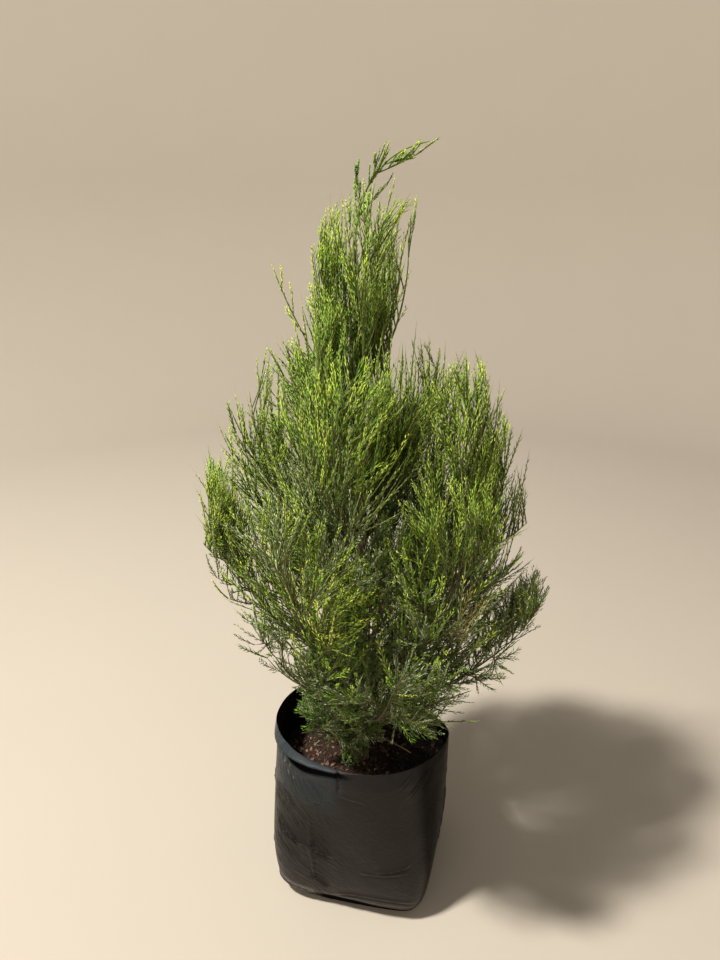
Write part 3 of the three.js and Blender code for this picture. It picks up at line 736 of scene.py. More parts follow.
class BagSettings(bpy.types.PropertyGroup):
    thickness: setting("Film thickness", "Thickness of the polythene film", 0.0007)
    lip: setting("Lip", "How far the turned-out stretch of the rim stands out", 0.008)
    groove: setting("Groove", "Depth of the groove under the turned-out rim", 0.018)
    wrinkle: setting("Wrinkle", "Height of a full wrinkle in the film", 0.0026)
    tuck: setting("Tuck", "How far the foot of the front is tucked in", 0.012)
    heel: setting("Heel", "How far the very foot stands out again below the tuck", 0.017)
    corner: setting("Corner", "How far the right front corner stands out at the foot", 0.009)
    film: setting("Film", "Colour of the film", "#131110")
    # Painted reflection: the bluish colour of the sky that the lip and the smooth stretch under it reflect
    panel: setting("Panel", "Colour of the smooth panel under the lip", "#1f282c")
    dust: setting("Dust", "Colour of the dust on the film", "#4a423c")
    # Painted shade: the film in the groove is drawn nearly black, as the lip shades it
    deep: setting("Deep", "Colour of the film in the groove under the lip", "#070505")


class MixSettings(bpy.types.PropertyGroup):
    crumb: setting("Crumb", "Unevenness of the top of the potting mix", 0.004)
    chips: setting("Chips", "Bark chips on the mix", 1500)
    chip: setting("Chip", "Length of a large chip", 0.013)
    mix: setting("Mix", "Colour of the damp mix", "#2e2119")
    bark_chip: setting("Bark chip", "Colour of most chips", "#5a4334")
    pink_chip: setting("Pine chip", "Colour of the fresher chips", "#8a6a5a")
    pale_chip: setting("Pale chip", "Colour of the few pale chips", "#a89a8c")


class BarkSettings(bpy.types.PropertyGroup):
    ridge: setting("Ridge", "Height of the bark's ridges", 0.0011)
    strip: setting("Strip", "Length of a strip of bark", 0.016)
    collar: setting("Collar", "Swelling where a bough leaves the trunk", 0.003)
    bark: setting("Bark", "Colour of the ridges", "#75604f")
    furrow: setting("Furrow", "Colour between the ridges", "#3d2b21")
    young: setting("Young bark", "Colour of the bark high up", "#3f4426")
    twig: setting("Twig", "Colour of the woody twigs", "#4a4228")
    young_twig: setting("Young twig", "Colour of the twigs at the top", "#5c7028")


class FoliageSettings(bpy.types.PropertyGroup):
    branchlets: setting("Branchlets", "Branchlets along one shoot", 16)
    branchlet: setting("Branchlet length", "Length of a long branchlet", 0.0165)
    width: setting("Branchlet width", "Widest width of a branchlet", 0.0021)
    bright: setting("Bright", "Colour of the newest growth", "#c3cf4b")
    sunlit: setting("Sunlit", "Colour of the outer shoots", "#9fb93a")
    middle: setting("Middle", "Colour of most shoots", "#72962a")
    deep: setting("Deep", "Colour of the older shoots", "#47681f")
    greyish: setting("Greyish", "Colour of the shaded lower shoots", "#6a784f")
    pale: setting("Pale", "Colour of the pale branchlets among them", "#a6b38f")
    dead: setting("Dead", "Colour of the dead tuft", "#8f6b48")
    shoot: setting("Shoot", "Colour of the shoots' axes and bare tips", "#6a7034")


class StageSettings(bpy.types.PropertyGroup):
    distance: setting("Distance", "How far the camera stands in front of the trunk", 1.29)
    height: setting("Height", "Height of the camera", 1.45)
    pitch: setting("Pitch", "How far the camera looks down", math.radians(21.4), unit="ROTATION")
    lens: setting("Lens", "Focal length for a picture 36 mm high", 27.04, unit="CAMERA")
    floor: setting("Floor", "Colour of the floor", "#aea598")


# Bag
# Wrinkles of the film: start and end as (angle, height), sag of the line between them, width and
# height as a share of a full wrinkle. Eight are at the left front, three at the foot, two half way up
# the front and three under the rim at the right.
WRINKLES = (
    ((-153, .302), (-135, .256), .004, .0035, 1.0),
    ((-160, .256), (-139, .243), .000, .0030, 0.8),
    ((-157, .219), (-118, .173), .008, .0032, 1.3),
    ((-154, .203), (-107, .165), .002, .0044, 2.6),
    ((-153, .168), (-130, .132), .003, .0030, 0.8),
    ((-163, .276), (-146, .262), .002, .0030, 0.7),
    ((-132, .292), (-103, .333), -.004, .0050, 0.5),
    ((-107, .338), (-88, .330), .000, .0030, 0.5),
    ((-127, .100), (-113, .066), .002, .0024, 2.0),
    ((-113, .047), (-56, .053), .014, .0036, 1.0),
    ((-160, .040), (-122, .030), -.003, .0034, 1.7),
    ((-84, .146), (-62, .166), -.002, .0032, 1.5),
    ((-93, .137), (-66, .147), -.002, .0030, 0.8),
    ((-64, .326), (-43, .376), .000, .0035, 1.1),
    ((-54, .318), (-38, .358), .000, .0035, 0.9),
    ((-70, .352), (-58, .386), .000, .0030, 0.6),
)
HIDDEN_WRINKLES = 34  # on the sides that the viewer of the photo doesn't see
DENT = ((-106, .332), (-105, .398), .0036, .0035)  # from, to, width and depth of a fold under the lip


def along_line(angle, z, start, end, sag):
    """Share along a sagging line on the film and signed distance from it, on the unrolled film."""
    away = np.radians(turn_from(start[0], angle)) * BAG["half"], z - start[1]
    run = np.array([math.radians(end[0] - start[0]) * BAG["half"], end[1] - start[1]])
    length = math.hypot(*run)
    run = run / length
    share = (away[0] * run[0] + away[1] * run[1]) / length
    off = away[1] * run[0] - away[0] * run[1]
    return share, off - sag * 4 * share * (1 - share)


def wrinkle(angle, z, start, end, sag, width, height):
    """A ridge with a shallow valley below it, each a hump across the line, faded at both ends."""
    share, off = along_line(angle, z, start, end, sag)
    fade = ease(share / 0.25) * ease((1 - share) / 0.25)
    return height * fade * (hump(off, 0, width) - 0.6 * hump(off, -1.9 * width, width))


def hidden_wrinkles():
    """Seeded slanting wrinkles on the sides and the back: each rises or falls over 10 to 26 degrees."""
    found = []
    for i in range(HIDDEN_WRINKLES):
        angle = -28 + 214 * chance(3, i, 1)
        z = 0.03 + 0.27 * chance(3, i, 2)
        slant = (chance(3, i, 3) - 0.5) * 0.07
        found.append((
            (angle, z), (angle + 10 + 16 * chance(3, i, 4), z + slant), 0.012 * (chance(3, i, 5) - 0.5),
            0.003 + 0.002 * chance(3, i, 6), 0.5 + 0.8 * chance(3, i, 7),
        ))
    return found


# The lip in metres below the rim: where it stands out most and its spread there, and the same for its
# upper edge, which turns back in
LIP_CREST = (0.009, 0.0055)
LIP_EDGE = (-0.003, 0.006)
LIP_EDGE_SHARE = 1.4  # how far the edge turns in as a share of how far the crest stands out
LIP_NARROWS = (15, 42)  # degrees before its middle from which it narrows, and over which it does
LIP_RIGHT = (0.4, 0.5, 0.6)  # its height, the groove's foot and its reach at its right end, as shares
LIP_SPREAD = 1.1  # of the stretch that is turned out, as a share of the bag's
GROOVE = (0.0175, 0.047)  # top and bottom below the rim
GROOVE_SOFT = 0.010
GROOVE_MAP_SOFT = 0.005  # of the groove's darkness, which is crisper than its shape
HOLLOW = (0.055, 0.024, 0.4)  # below the groove: its middle, spread and depth as a share of the groove's
# At the foot of the front: the tuck's top and the height that it takes, the heel's height, and the middle
# and spread of the stretch that they are on
TUCK, HEEL, TUCKED = (0.046, 0.034), 0.010, (-110, 60)
CORNER = (-57, 9, 0.20)  # the right front corner's middle, spread and top
# Slow and quick waves of the film: cells round it, height of a cell, start, seed and height of the wave
FILM_WAVES = ((9, 0.11, 3, 21, 0.0022), (34, 0.045, 0, 22, 0.0007))


def lip_taper(angle):
    """How tall the lip is, and how far down the groove goes, towards the right end as a share of the
    left, and how much of the lip there is: a bell with a flat top, exp(-(off / spread)^4)."""
    middle, spread = BAG["lip"]
    off = turn_from(middle, angle)
    share = ease((off + LIP_NARROWS[0]) / LIP_NARROWS[1])
    there = np.exp(-(off / (LIP_SPREAD * spread)) ** 4)
    return lerp(1, LIP_RIGHT[0], share), lerp(1, LIP_RIGHT[1], share ** 2), there


def groove_depth(angle, below_rim, soft):
    """1 in the groove under the lip and 0 outside it, eased over a softness at its upper edge and
    twice that at its lower edge."""
    tall, low, _ = lip_taper(angle)
    under = ease((below_rim - GROOVE[0] * tall) / soft + 0.5)
    return under * ease((GROOVE[1] * low - below_rim) / (2 * soft) + 0.5)


def film_relief(angle, z, below_rim, settings):
    """Change of radius of the film: turned out (lip - groove - hollow) - tuck + corner - dent + wrinkles
    + waves, which the weight of the mix flattens at the foot."""
    tall, low, turned = lip_taper(angle)
    drop = below_rim / tall
    lip = settings.lip * hump(drop, *LIP_CREST) - LIP_EDGE_SHARE * settings.lip * hump(drop, *LIP_EDGE)
    lip = lip * lerp(LIP_RIGHT[2], 1, tall)
    groove = settings.groove * low * groove_depth(angle, below_rim, GROOVE_SOFT)
    hollow = HOLLOW[2] * settings.groove * hump(below_rim, *HOLLOW[:2])
    tuck = settings.tuck * ease((TUCK[0] - z) / TUCK[1]) - settings.heel * np.exp(-z / HEEL)
    corner = settings.corner * bell(angle, *CORNER[:2]) * ease((CORNER[2] - z) / CORNER[2])
    relief = turned * (lip - groove - hollow) - tuck * bell(angle, *TUCKED) + corner
    start, end, width, depth = DENT
    share, off = along_line(angle, z, start, end, 0)
    relief = relief - depth * ease(share / 0.3) * hump(off, 0, width) * (z > 0.3)
    for first, last, sag, across_it, share in (*WRINKLES, *hidden_wrinkles()):
        relief = relief + wrinkle(angle, z, first, last, sag, across_it, share * settings.wrinkle)
    around = (angle % 360) / 360
    waves = sum(
        height * cell_noise(around * cells, z / tall_cell + start + around * 0, cells, seed)
        for cells, tall_cell, start, seed, height in FILM_WAVES
    )
    return relief + ease(z / 0.03) * waves


def bag_rings(angle, z, below_rim, inset, settings):
    """Points of the film at angles and heights: section + relief - inset from the bag's middle."""
    radius = section_radius(angle, z) + film_relief(angle, z, below_rim, settings) - inset
    a = np.radians(angle)
    return np.stack([BAG["shift"] + radius * np.cos(a), radius * np.sin(a), z + 0 * angle], -1)


# The film's mesh: columns in degrees (from, to, step), fine on the side that the viewer sees, and rows
SEEN, UNSEEN = (-168, -30, 0.5), (-30, 192, 2.4)
FOOT_ROWS, SIDE_ROWS, MOUTH_ROWS, INNER_ROWS, HIDDEN_ROWS = 42, 64, 52, 16, 3
FOOT_TOP = 0.058
FLOOR_THICKNESS, HIDDEN_THICKNESS = 0.003, 0.0016  # of the floor, and of the side where mix hides it
RIM_WAVE = 0.0012


def film_shell(settings):
    """A thin open shell: rows up the outside from the foot to the rim, and down the inside to the
    floor, with a point in the middle of the underside and of the floor."""
    angle = np.concatenate([np.arange(*SEEN), np.arange(*UNSEEN)])
    rim = rim_height(angle) + RIM_WAVE * cell_noise(angle / 360 * 40, 0 * angle, 40, 23)
    side = np.concatenate([
        np.linspace(0, FOOT_TOP, FOOT_ROWS)[:-1], np.linspace(FOOT_TOP, MIX_TOP, SIDE_ROWS),
    ])[:, None] + 0 * angle
    mouth = lerp(MIX_TOP, rim, (np.linspace(0, 1, MOUTH_ROWS + 1) ** 0.8)[1:, None])
    inner = lerp(rim, MIX_TOP + 0 * rim, np.linspace(0, 1, INNER_ROWS)[:, None])
    hidden = MIX_TOP * np.linspace(1, 0, HIDDEN_ROWS + 1)[1:, None] + 0 * angle
    outside = np.concatenate([side, mouth])
    inside = np.concatenate([inner, np.maximum(hidden, FLOOR_THICKNESS)])
    inset = np.repeat([settings.thickness, HIDDEN_THICKNESS], [INNER_ROWS, HIDDEN_ROWS])[:, None]
    rings = np.concatenate([
        bag_rings(angle + 0 * outside, outside, rim - outside, 0, settings),
        bag_rings(angle + 0 * inside, inside, rim - inside, inset, settings),
    ])
    middle = BAG["shift"]
    return skins(rings[None], np.array([[middle, 0, 0]]), np.array([[middle, 0, FLOOR_THICKNESS]]))


class CYPRESS_OT_planter_bag(bpy.types.Operator):
    """Builds the film bag: a thin open shell with its lip, groove, wrinkles and tucked foot"""
    bl_idname = "cypress.planter_bag"
    bl_label = "Planter bag"

    def execute(self, context):
        settings = context.scene.cypress_bag
        points, faces = film_shell(settings)
        looks = surface("polythene_film", polythene_film, settings)
        film = make_piece("planter_bag_film", points, faces, looks, "film", ["planter_bag"])
        # The film's own map is the unrolled side in metres, with its seam at the left, out of the photo
        turn = np.degrees(np.arctan2(points[:, 1], points[:, 0] - BAG["shift"]))
        flat = np.stack([np.radians(turn) * BAG["half"], points[:, 2]], -1)
        unrolled = film.data.uv_layers.new(name="unrolled")
        unrolled.data.foreach_set("uv", flat[faces.ravel()].astype(np.float32).ravel())
        # The groove's depth, kept for the painted shade in the groove and for its lack of sheen there
        groove = groove_depth(turn, rim_height(turn) - points[:, 2], GROOVE_MAP_SOFT) * lip_taper(turn)[2]
        hollow = film.data.attributes.new("hollow", "FLOAT", "POINT")
        hollow.data.foreach_set("value", groove.astype(np.float32))
        return {"FINISHED"}


# Potting mix
# Swells, lumps and crumbs: their size, start, seed and share of the mix's unevenness
MIX_NOISE = ((0.05, 40, 31, 0.5), (0.011, 90, 32, 0.35), (0.0045, 200, 33, 0.25))
MIX_EDGE = (0.12, 0.06)  # radius from which the mix sinks towards the film, and the width of that
MIX_FOOT = (0.018, 0.03)  # radius of the even mix round the trunk, and the width over which crumbs begin
CHIP_BED = 0.172  # radius of the bed of chips
CHIP_CORNERS = 5
CHIP_KINDS = (("composted_bark", "bark_chip", 0.66), ("pine_bark", "pink_chip", 0.24),
              ("pale_bark", "pale_chip", 0.10))  # name, setting of the colour and share of the chips


def mix_height(x, y, settings):
    """Height of the mix: its top + noise - the sinking at the film, and even at the trunk's foot."""
    radius = np.hypot(x, y)
    rough = settings.crumb * sum(
        share * cell_noise(x / size + start, y / size + start, 4096, seed)
        for size, start, seed, share in MIX_NOISE
    )
    edge = MIX_SWELL * ease((radius - MIX_EDGE[0]) / MIX_EDGE[1])
    return MIX_TOP + rough * ease((radius - MIX_FOOT[0]) / MIX_FOOT[1]) - edge


def chip_meshes(count, seed, settings):
    """Flat chunks with uneven corners, lying at all angles on the mix: two outlines of reach cos a and
    narrow reach sin a, a thickness apart, and a point on either side."""
    item = np.arange(count)

    def pick(use):
        """Each chip's own number from 0 to 1 for a use."""
        return chance(seed, item, use)

    radius, turn = CHIP_BED * np.sqrt(pick(1)), 2 * math.pi * pick(2)
    x, y = BAG["shift"] + radius * np.cos(turn), radius * np.sin(turn)
    size = settings.chip * (0.18 + 0.42 * pick(3) ** 2)
    middle = np.stack([x, y, mix_height(x, y, settings) + 0.25 * size * pick(4)], -1)
    axis = unit(np.stack([pick(5) - 0.5, pick(6) - 0.5, 0.35 + 0.5 * pick(7)], -1))
    side = across(axis, 2 * math.pi * pick(8))
    other = np.cross(axis, side)
    corner = np.arange(CHIP_CORNERS)
    own = item[:, None] * CHIP_CORNERS + corner
    around = (corner + 0.5 * chance(seed, own, 9)) * 2 * math.pi / CHIP_CORNERS
    reach = size[:, None] * (0.7 + 0.5 * chance(seed, own, 10))
    narrow = (0.35 + 0.5 * pick(11))[:, None]
    flat = (side[:, None] * (reach * np.cos(around))[..., None]
            + other[:, None] * (narrow * reach * np.sin(around))[..., None])
    thick = (axis * (size * (0.12 + 0.2 * pick(12)))[:, None])[:, None]
    low, high = middle[:, None] + flat - thick, middle[:, None] + 0.85 * flat + thick
    rings = np.stack([low, high], 1)
    return skins(rings, middle - 1.1 * thick[:, 0], middle + 1.1 * thick[:, 0])


class CYPRESS_OT_potting_mix(bpy.types.Operator):
    """Builds the potting mix with an uneven top, and bark chips of three colours on it"""
    bl_idname = "cypress.potting_mix"
    bl_label = "Potting mix"

    def execute(self, context):
        settings = context.scene.cypress_mix
        around, side_rows, top_rows = 180, 12, 54
        inset, sunk, low = 0.0021, 0.002, 0.0035  # off the film, more above its foot, and off the ground
        angle = np.arange(around) * 360 / around
        z = np.linspace(low, MIX_TOP - MIX_SWELL, side_rows)[:, None] + 0 * angle
        off_film = inset + sunk * ease(z / 0.03)
        side = bag_rings(angle + 0 * z, z, rim_height(angle) - z, off_film, context.scene.cypress_bag)
        share = np.linspace(1, 0, top_rows + 1)[1:-1, None]
        middle = BAG["shift"]
        x = middle + (side[-1, :, 0] - middle) * share
        y = side[-1, :, 1] * share
        rings = np.concatenate([side, np.stack([x, y, mix_height(x, y, settings)], -1)])
        peak = np.array([[middle, 0, mix_height(middle, 0.0, settings)]])
        bed = skins(rings[None], np.array([[middle, 0, low]]), peak)
        # The mix gets painted shade on the right, where the foliage shades it
        looks = surface("damp_potting_mix", mottled, settings.mix, MOTTLES["damp_potting_mix"], True)
        make_piece("potting_mix_bed", *bed, looks, "potting_mix", ["potting_mix"])
        for seed, (name, colour, share) in enumerate(CHIP_KINDS, 41):
            chips = chip_meshes(int(settings.chips * share), seed, settings)
            # The chips get the same painted shade on the right as the mix
            looks = surface(name, mottled, getattr(settings, colour), MOTTLES["bark_chips"], True)
            make_piece(f"chips_{name}", *chips, looks, "potting_mix")
        return {"FINISHED"}


# Trunk and boughs
# Ridges, strips and swells of the bark: cells round the limb, length of a cell as a share of a strip (or
# in metres where it isn't one of the strips), seed and share of the height
BARK_NOISE = ((9, 1.0, 51, 1.0), (17, 0.6, 52, 0.6))
BARK_SWELL = (4, 0.03, 53, 0.3)
FULL_RIDGES = 0.011  # radius from which the ridges have their full height
RIDGE_SHARE = 0.6
# A bough's collar on the trunk: the radius of the bough whose collar is full, how far above the bough's
# foot it is, its spread up the trunk, and its spread round it in degrees
COLLAR = (0.0056, 0.006, 0.009, 50)
BOUGH_FLARE = (0.0022, 0.12)  # what a bough's foot is thicker by, and the share over which that fades


def barked_limb(curve_at, radius_at, shares, around, seed, settings, swell=0):
    """A limb's skin with lengthways ridges: rings square to the axis, whose radius gains noise that
    is drawn out along the limb."""
    middle = curve_at(shares)
    side, other = frame_along(unit(np.gradient(middle, axis=0)))
    turn = np.arange(around) / around
    length = np.concatenate([[0], np.cumsum(np.linalg.norm(np.diff(middle, axis=0), axis=1))])[:, None]
    noises = [(cells, share * settings.strip, use, height) for cells, share, use, height in BARK_NOISE]
    ridges = sum(
        height * cell_noise(turn * cells, length / long + seed, cells, use)
        for cells, long, use, height in (*noises, BARK_SWELL)
    )
    radius = radius_at(shares)[:, None]
    height = settings.ridge * np.minimum(1, radius / FULL_RIDGES)
    radius = (radius + height * ridges * RIDGE_SHARE + swell)[..., None]
    rings = circles(middle, side, other, radius, 2 * math.pi * turn)
    return skins(rings[None], middle[:1], middle[-1:])


def collars(z, turn, settings):
    """Swelling of the trunk where boughs leave it: a hump up the trunk times a bell round it."""
    largest, above, spread, wide = COLLAR
    swell = 0
    for m in MASSES[:-1]:
        near = hump(z - m["path"][0, 2], above, spread)[:, None]
        share = settings.collar * m["tier"]["radius"] / largest
        swell = swell + share * near * bell(turn, math.degrees(m["azimuth"]) + 90, wide)
    return swell


class CYPRESS_OT_trunk_and_boughs(bpy.types.Operator):
    """Builds the trunk from its flat cut to its tip, and the bare boughs, with stringy bark"""
    bl_idname = "cypress.trunk_and_boughs"
    bl_label = "Trunk and boughs"

    def execute(self, context):
        settings = context.scene.cypress_bark
        bark = surface("stringy_bark", stringy_bark, settings)
        around, levels = 40, 280
        shares = np.linspace(0, 1, levels) ** 1.1
        swell = collars(
            lerp(TRUNK["foot"], TRUNK["tip"], shares), 360 * np.arange(around) / around, settings)
        trunk = barked_limb(
            lambda s: trunk_point(lerp(TRUNK["foot"], TRUNK["tip"], s)),
            lambda s: trunk_radius(lerp(TRUNK["foot"], TRUNK["tip"], s)),
            shares, around, 1, settings, swell)
        make_piece("trunk_bark", *trunk, bark, "bark", ["trunk"])
        bare = [m for m in MASSES if m["tier"]["bare"]]
        thicker, fade = BOUGH_FLARE
        boughs = [barked_limb(
            lambda s, m=m: curve_point(m["path"], m["tier"]["bare"] * s),
            lambda s, m=m: bough_radius(m["tier"], s) + thicker * np.exp(-s / fade),
            np.linspace(0, 1, 32), 16, 3 + m["index"], settings) for m in bare]
        make_piece("bough_bark", *together(boughs), bark, "bark", [f"bough_{m['title']}" for m in bare])
        return {"FINISHED"}


# Twigs and shoots
# Golden turns between attempts at a direction, share of its length that growth loses at each attempt, and
# share of its first half that may touch the limb which it grows from
TRY_TURN, TRY_SHORTER, FREE_FOOT = 0.37, 0.09, 0.3
TRIES_TWIG, TRIES_SHOOT = 8, 6
CLEAR_TWIG, CLEAR_SHOOT = 0.001, 0.002  # half widths that have to be clear of the limbs

TWIG_REACH = 0.70  # share of its whole reach that is twig; the shoots make up the rest
TWIG_OPEN = 16  # degrees that twigs stand further off the stem than in the solids
TWIG_CLIMB, TWIG_LIFT = 0.6, 0.7  # shares of the tier's climb and lift that twigs have
TWIG_WITHIN = (0.042, 0.010)  # how far inside the crown's outline twigs end, low and high up
TWIG_ON = (0.98, 8)  # share of the limb at which the last twig goes on from it, and degrees off it
TWIG_RADIUS = 0.62  # of the limb's there
TWIG_THIN = 0.6  # share of the thinning that takes whole twigs
TWIG_SIDES, TWIG_ROWS, TWIG_TIP_RADIUS = 5, 6, 0.0006
STEM_SIDES, STEM_ROWS = 8, 18
STEM_SUNK = 0.01  # share of its limb by which a stem starts inside the bare bough

SHOOT_SHARES = (0.06, 0.99)  # of a twig, between which it bears shoots
SHOOT_ON = (0.95, 6)  # the same for the last shoot of a twig
SHOOT_CLIMB = (0.12, 0.5)  # climb of every shoot, and the share of the tier's that it has besides
SHOOT_WITHIN = 0.036  # how far at most inside the crown's outline shoots end
FULLER = (0.6, 0.25)  # shares by which shoots end less far inside, and are longer, in the places of FULL
WHIPS = (0.07, 0.30)  # share of the shoots that are whips, which reach the outline, low and high up
WHIP_LENGTH = 1.3
WHIP_WITHIN = (-0.026, 0.004)  # how far inside the outline whips end, at least and at most
SHOOT_SIDES, SHOOT_ROWS = 3, 3
SHOOT_RADII, WHIP_RADII = (0.00105, 0.0005), (0.0014, 0.0009)  # at their feet and tips
JUDGED = 0.7  # share of a twig where its place in the crown is judged

# One long whip stands out from the left of the column: its two lengths and three side shoots
STRAYS = np.array([
    ((-.052, .012, 1.120), (-.084, .004, 1.186), (-.122, -.010, 1.268)),
    ((-.105, -.004, 1.232), (-.134, -.014, 1.290), (-.158, -.010, 1.366)),
    ((-.117, -.008, 1.256), (-.116, -.010, 1.286), (-.122, -.010, 1.320)),
    ((-.136, -.010, 1.300), (-.132, -.010, 1.326), (-.137, -.010, 1.350)),
    ((-.098, -.002, 1.222), (-.118, -.004, 1.246), (-.136, -.004, 1.280)),
])
STRAY_SIZE = 0.09

# Branchlets: where along a shoot the first and the last one are, and the last one of a whip
BRANCHLET_SHARES, WHIP_BARE = (0.03, 0.93), 0.84
BRANCHLET_OFF = (11, 25, 40)  # degrees off the shoot, at least and at most, and more where growth strays
BRANCHLET_FADE = (1.06, 0.38)  # share where their length would reach nothing, and over which it falls
SPINDLE_SIDES = 3

# Where shoots are greyer or fresher than elsewhere at their height, in the form of THIN
# GREYER is painted shade: more greyish shoots in the front middle of the crown
GREYER = (((-0.060, -0.160, 0.920), (0.200, 0.260, 0.150), 0.62),)
FRESHER = (((-0.050, -0.200, 0.790), (0.110, 0.200, 0.080), 0.80),)
DEAD_TUFT = {"place": (0.190, -0.230, 0.788), "radius": 0.026}  # one small tuft has died
TONES = ("bright", "sunlit", "middle", "deep", "greyish", "pale", "dead")
GREYISH, PALE, DEAD = 4, 5, 6  # places of tones in that list
DARKER = (0.80, 0.60, 0.40)  # how light a branchlet is at the steps from tone to tone
# Partly painted light: the crown's outline and top give painted sunlight and its foot takes painted shade,
# while a shoot's tip is lighter as new growth
# How light a branchlet is: every one, and what the crown's outline, the top, its shoot's chance (low and
# high up), its shoot's tip, its own chance and a fresh place give, and what the foot of the crown takes
LIGHT = {
    "all": 0.13, "out": 0.36, "high": 0.20, "shoot": (0.46, 0.26), "tip": 0.34, "own": 0.2,
    "fresh": 0.22, "low": 0.18,
}
# Heights, and the share of shoots that are greyish there
# Greyish shoots are painted shade, more of them low in the crown
GREYISH_AT, GREYISH_SHARE = (0.3, 0.5, 0.8, 0.98), (0.45, 0.62, 0.45, 0.0)
PALE_SHARE = 0.18  # of a greyish shoot's branchlets

PIECE_FACES = 196000  # a piece has no more triangles than this


def ranks(counts):
    """Place of each item in its group, for groups of these sizes."""
    ends = np.cumsum(counts)
    return np.arange(ends[-1]) - np.repeat(ends - counts, counts)


def grow(mass, place, axis, way, length, within, margin, radius, attempts):
    """Shoots that bend: each leaves its axis at an angle and is lifted, and its second half is lifted
    once more and strays to one side. way holds the turn, the spread, the climb, the lift and the
    stray. Each takes the first direction in which it keeps to its mass's space and off the limbs, a
    little shorter at each attempt. Gives the curves and which of them grew."""
    curves = np.repeat(place[:, None], 3, 1)
    waiting = np.arange(len(mass))
    for attempt in range(attempts):
        w = waiting
        turn, spread, climb, lift, stray = (value[w] for value in way)
        tried = turn + GOLDEN_TURN * TRY_TURN * attempt
        direction = leaving(axis[w], tried, spread, climb)
        half = (0.5 * length[w] * (1 - TRY_SHORTER * attempt))[:, None]
        middle = place[w] + direction * half
        bent = direction + UP * lift[:, None] + across(direction, 2.4 * tried) * stray[:, None]
        tip = middle + unit(bent) * half
        start = place[w] + FREE_FOOT * (middle - place[w])
        good = in_space(tip, mass[w], within[w], margin) & in_space(middle, mass[w], within[w], margin)
        good &= clear_of_limbs(start, middle, radius) & clear_of_limbs(middle, tip, radius)
        curves[w[good]] = np.stack([place[w], middle, tip], 1)[good]
        waiting = w[~good]
        if not len(waiting):
            break
    grew = np.ones(len(mass), bool)
    grew[waiting] = False
    return curves, grew


def of_mass(key, mass):
    """A mass's value for each item, by the mass that it belongs to."""
    return np.array([m[key] for m in MASSES])[mass]


def of_tier(key, mass):
    """A tier's value for each item, by the mass that it belongs to."""
    return np.array([m["tier"][key] for m in MASSES])[mass]


def reach_from_stem(mass, number, share):
    """How far a twig and the spray at its end reach, as in the solids."""
    index = of_mass("index", mass)
    twig = of_tier("twig", mass) * (1 - TWIG_SHORTEN * share) * lerp(0.85, 1.2, chance(index, number, 4))
    return twig + of_tier("spray", mass) * lerp(0.85, 1.15, chance(index, number, 5))


def strongest(places, points):
    """The strongest of some places' shares at each point, eased away over the outer half of a reach."""
    found = np.zeros(len(points))
    for place, reach, share in places:
        away = np.linalg.norm((points - place) / reach, axis=-1)
        found = np.maximum(found, share * ease(2 * (1 - away)))
    return found


def grow_twigs():
    """Twigs along every limb at golden turns, as in the solids but more of them, and one that goes on
    from the stem's end."""
    counts = np.array([m["tier"]["twigs"] for m in MASSES])
    mass = np.repeat(np.arange(len(MASSES)), counts)
    number = ranks(counts)
    share = lerp(*STEM_SHARES, (number + 0.5) / counts[mass])
    last = number == counts[mass] - 1
    share[last] = TWIG_ON[0]
    t = np.concatenate([even_share(m["limb"], share[mass == i]) for i, m in enumerate(MASSES)])
    stems = of_mass("limb", mass)
    length = TWIG_REACH * reach_from_stem(mass, number, share)
    spread = np.radians(of_tier("spread", mass) + TWIG_OPEN) * lerp(0.85, 1.1, chance(mass, number, 15))
    spread[last] = np.radians(TWIG_ON[1])
    way = (
        of_mass("azimuth", mass) + GOLDEN_TURN * number, spread,
        TWIG_CLIMB * of_tier("climb", mass) * ~last, TWIG_LIFT * of_tier("lift", mass),
        of_tier("wander", mass) * (2 * chance(mass, number, 16) - 1),
    )
    curves, grew = grow(
        mass, curve_point(stems, t), curve_axis(stems, t), way, length,
        lerp(*TWIG_WITHIN, of_tier("climb", mass)), SPACE["margin"], CLEAR_TWIG, TRIES_TWIG)
    foot = np.array([stem_radius(m["tier"], 0) for m in MASSES])[mass]
    radius = TWIG_RADIUS * lerp(foot, STEM_TIP_RADIUS, share)
    thin = strongest(THIN, curve_point(curves, JUDGED + 0 * share))
    grew &= chance(mass, number, 27) >= TWIG_THIN * thin
    return mass[grew], curves[grew], radius[grew]


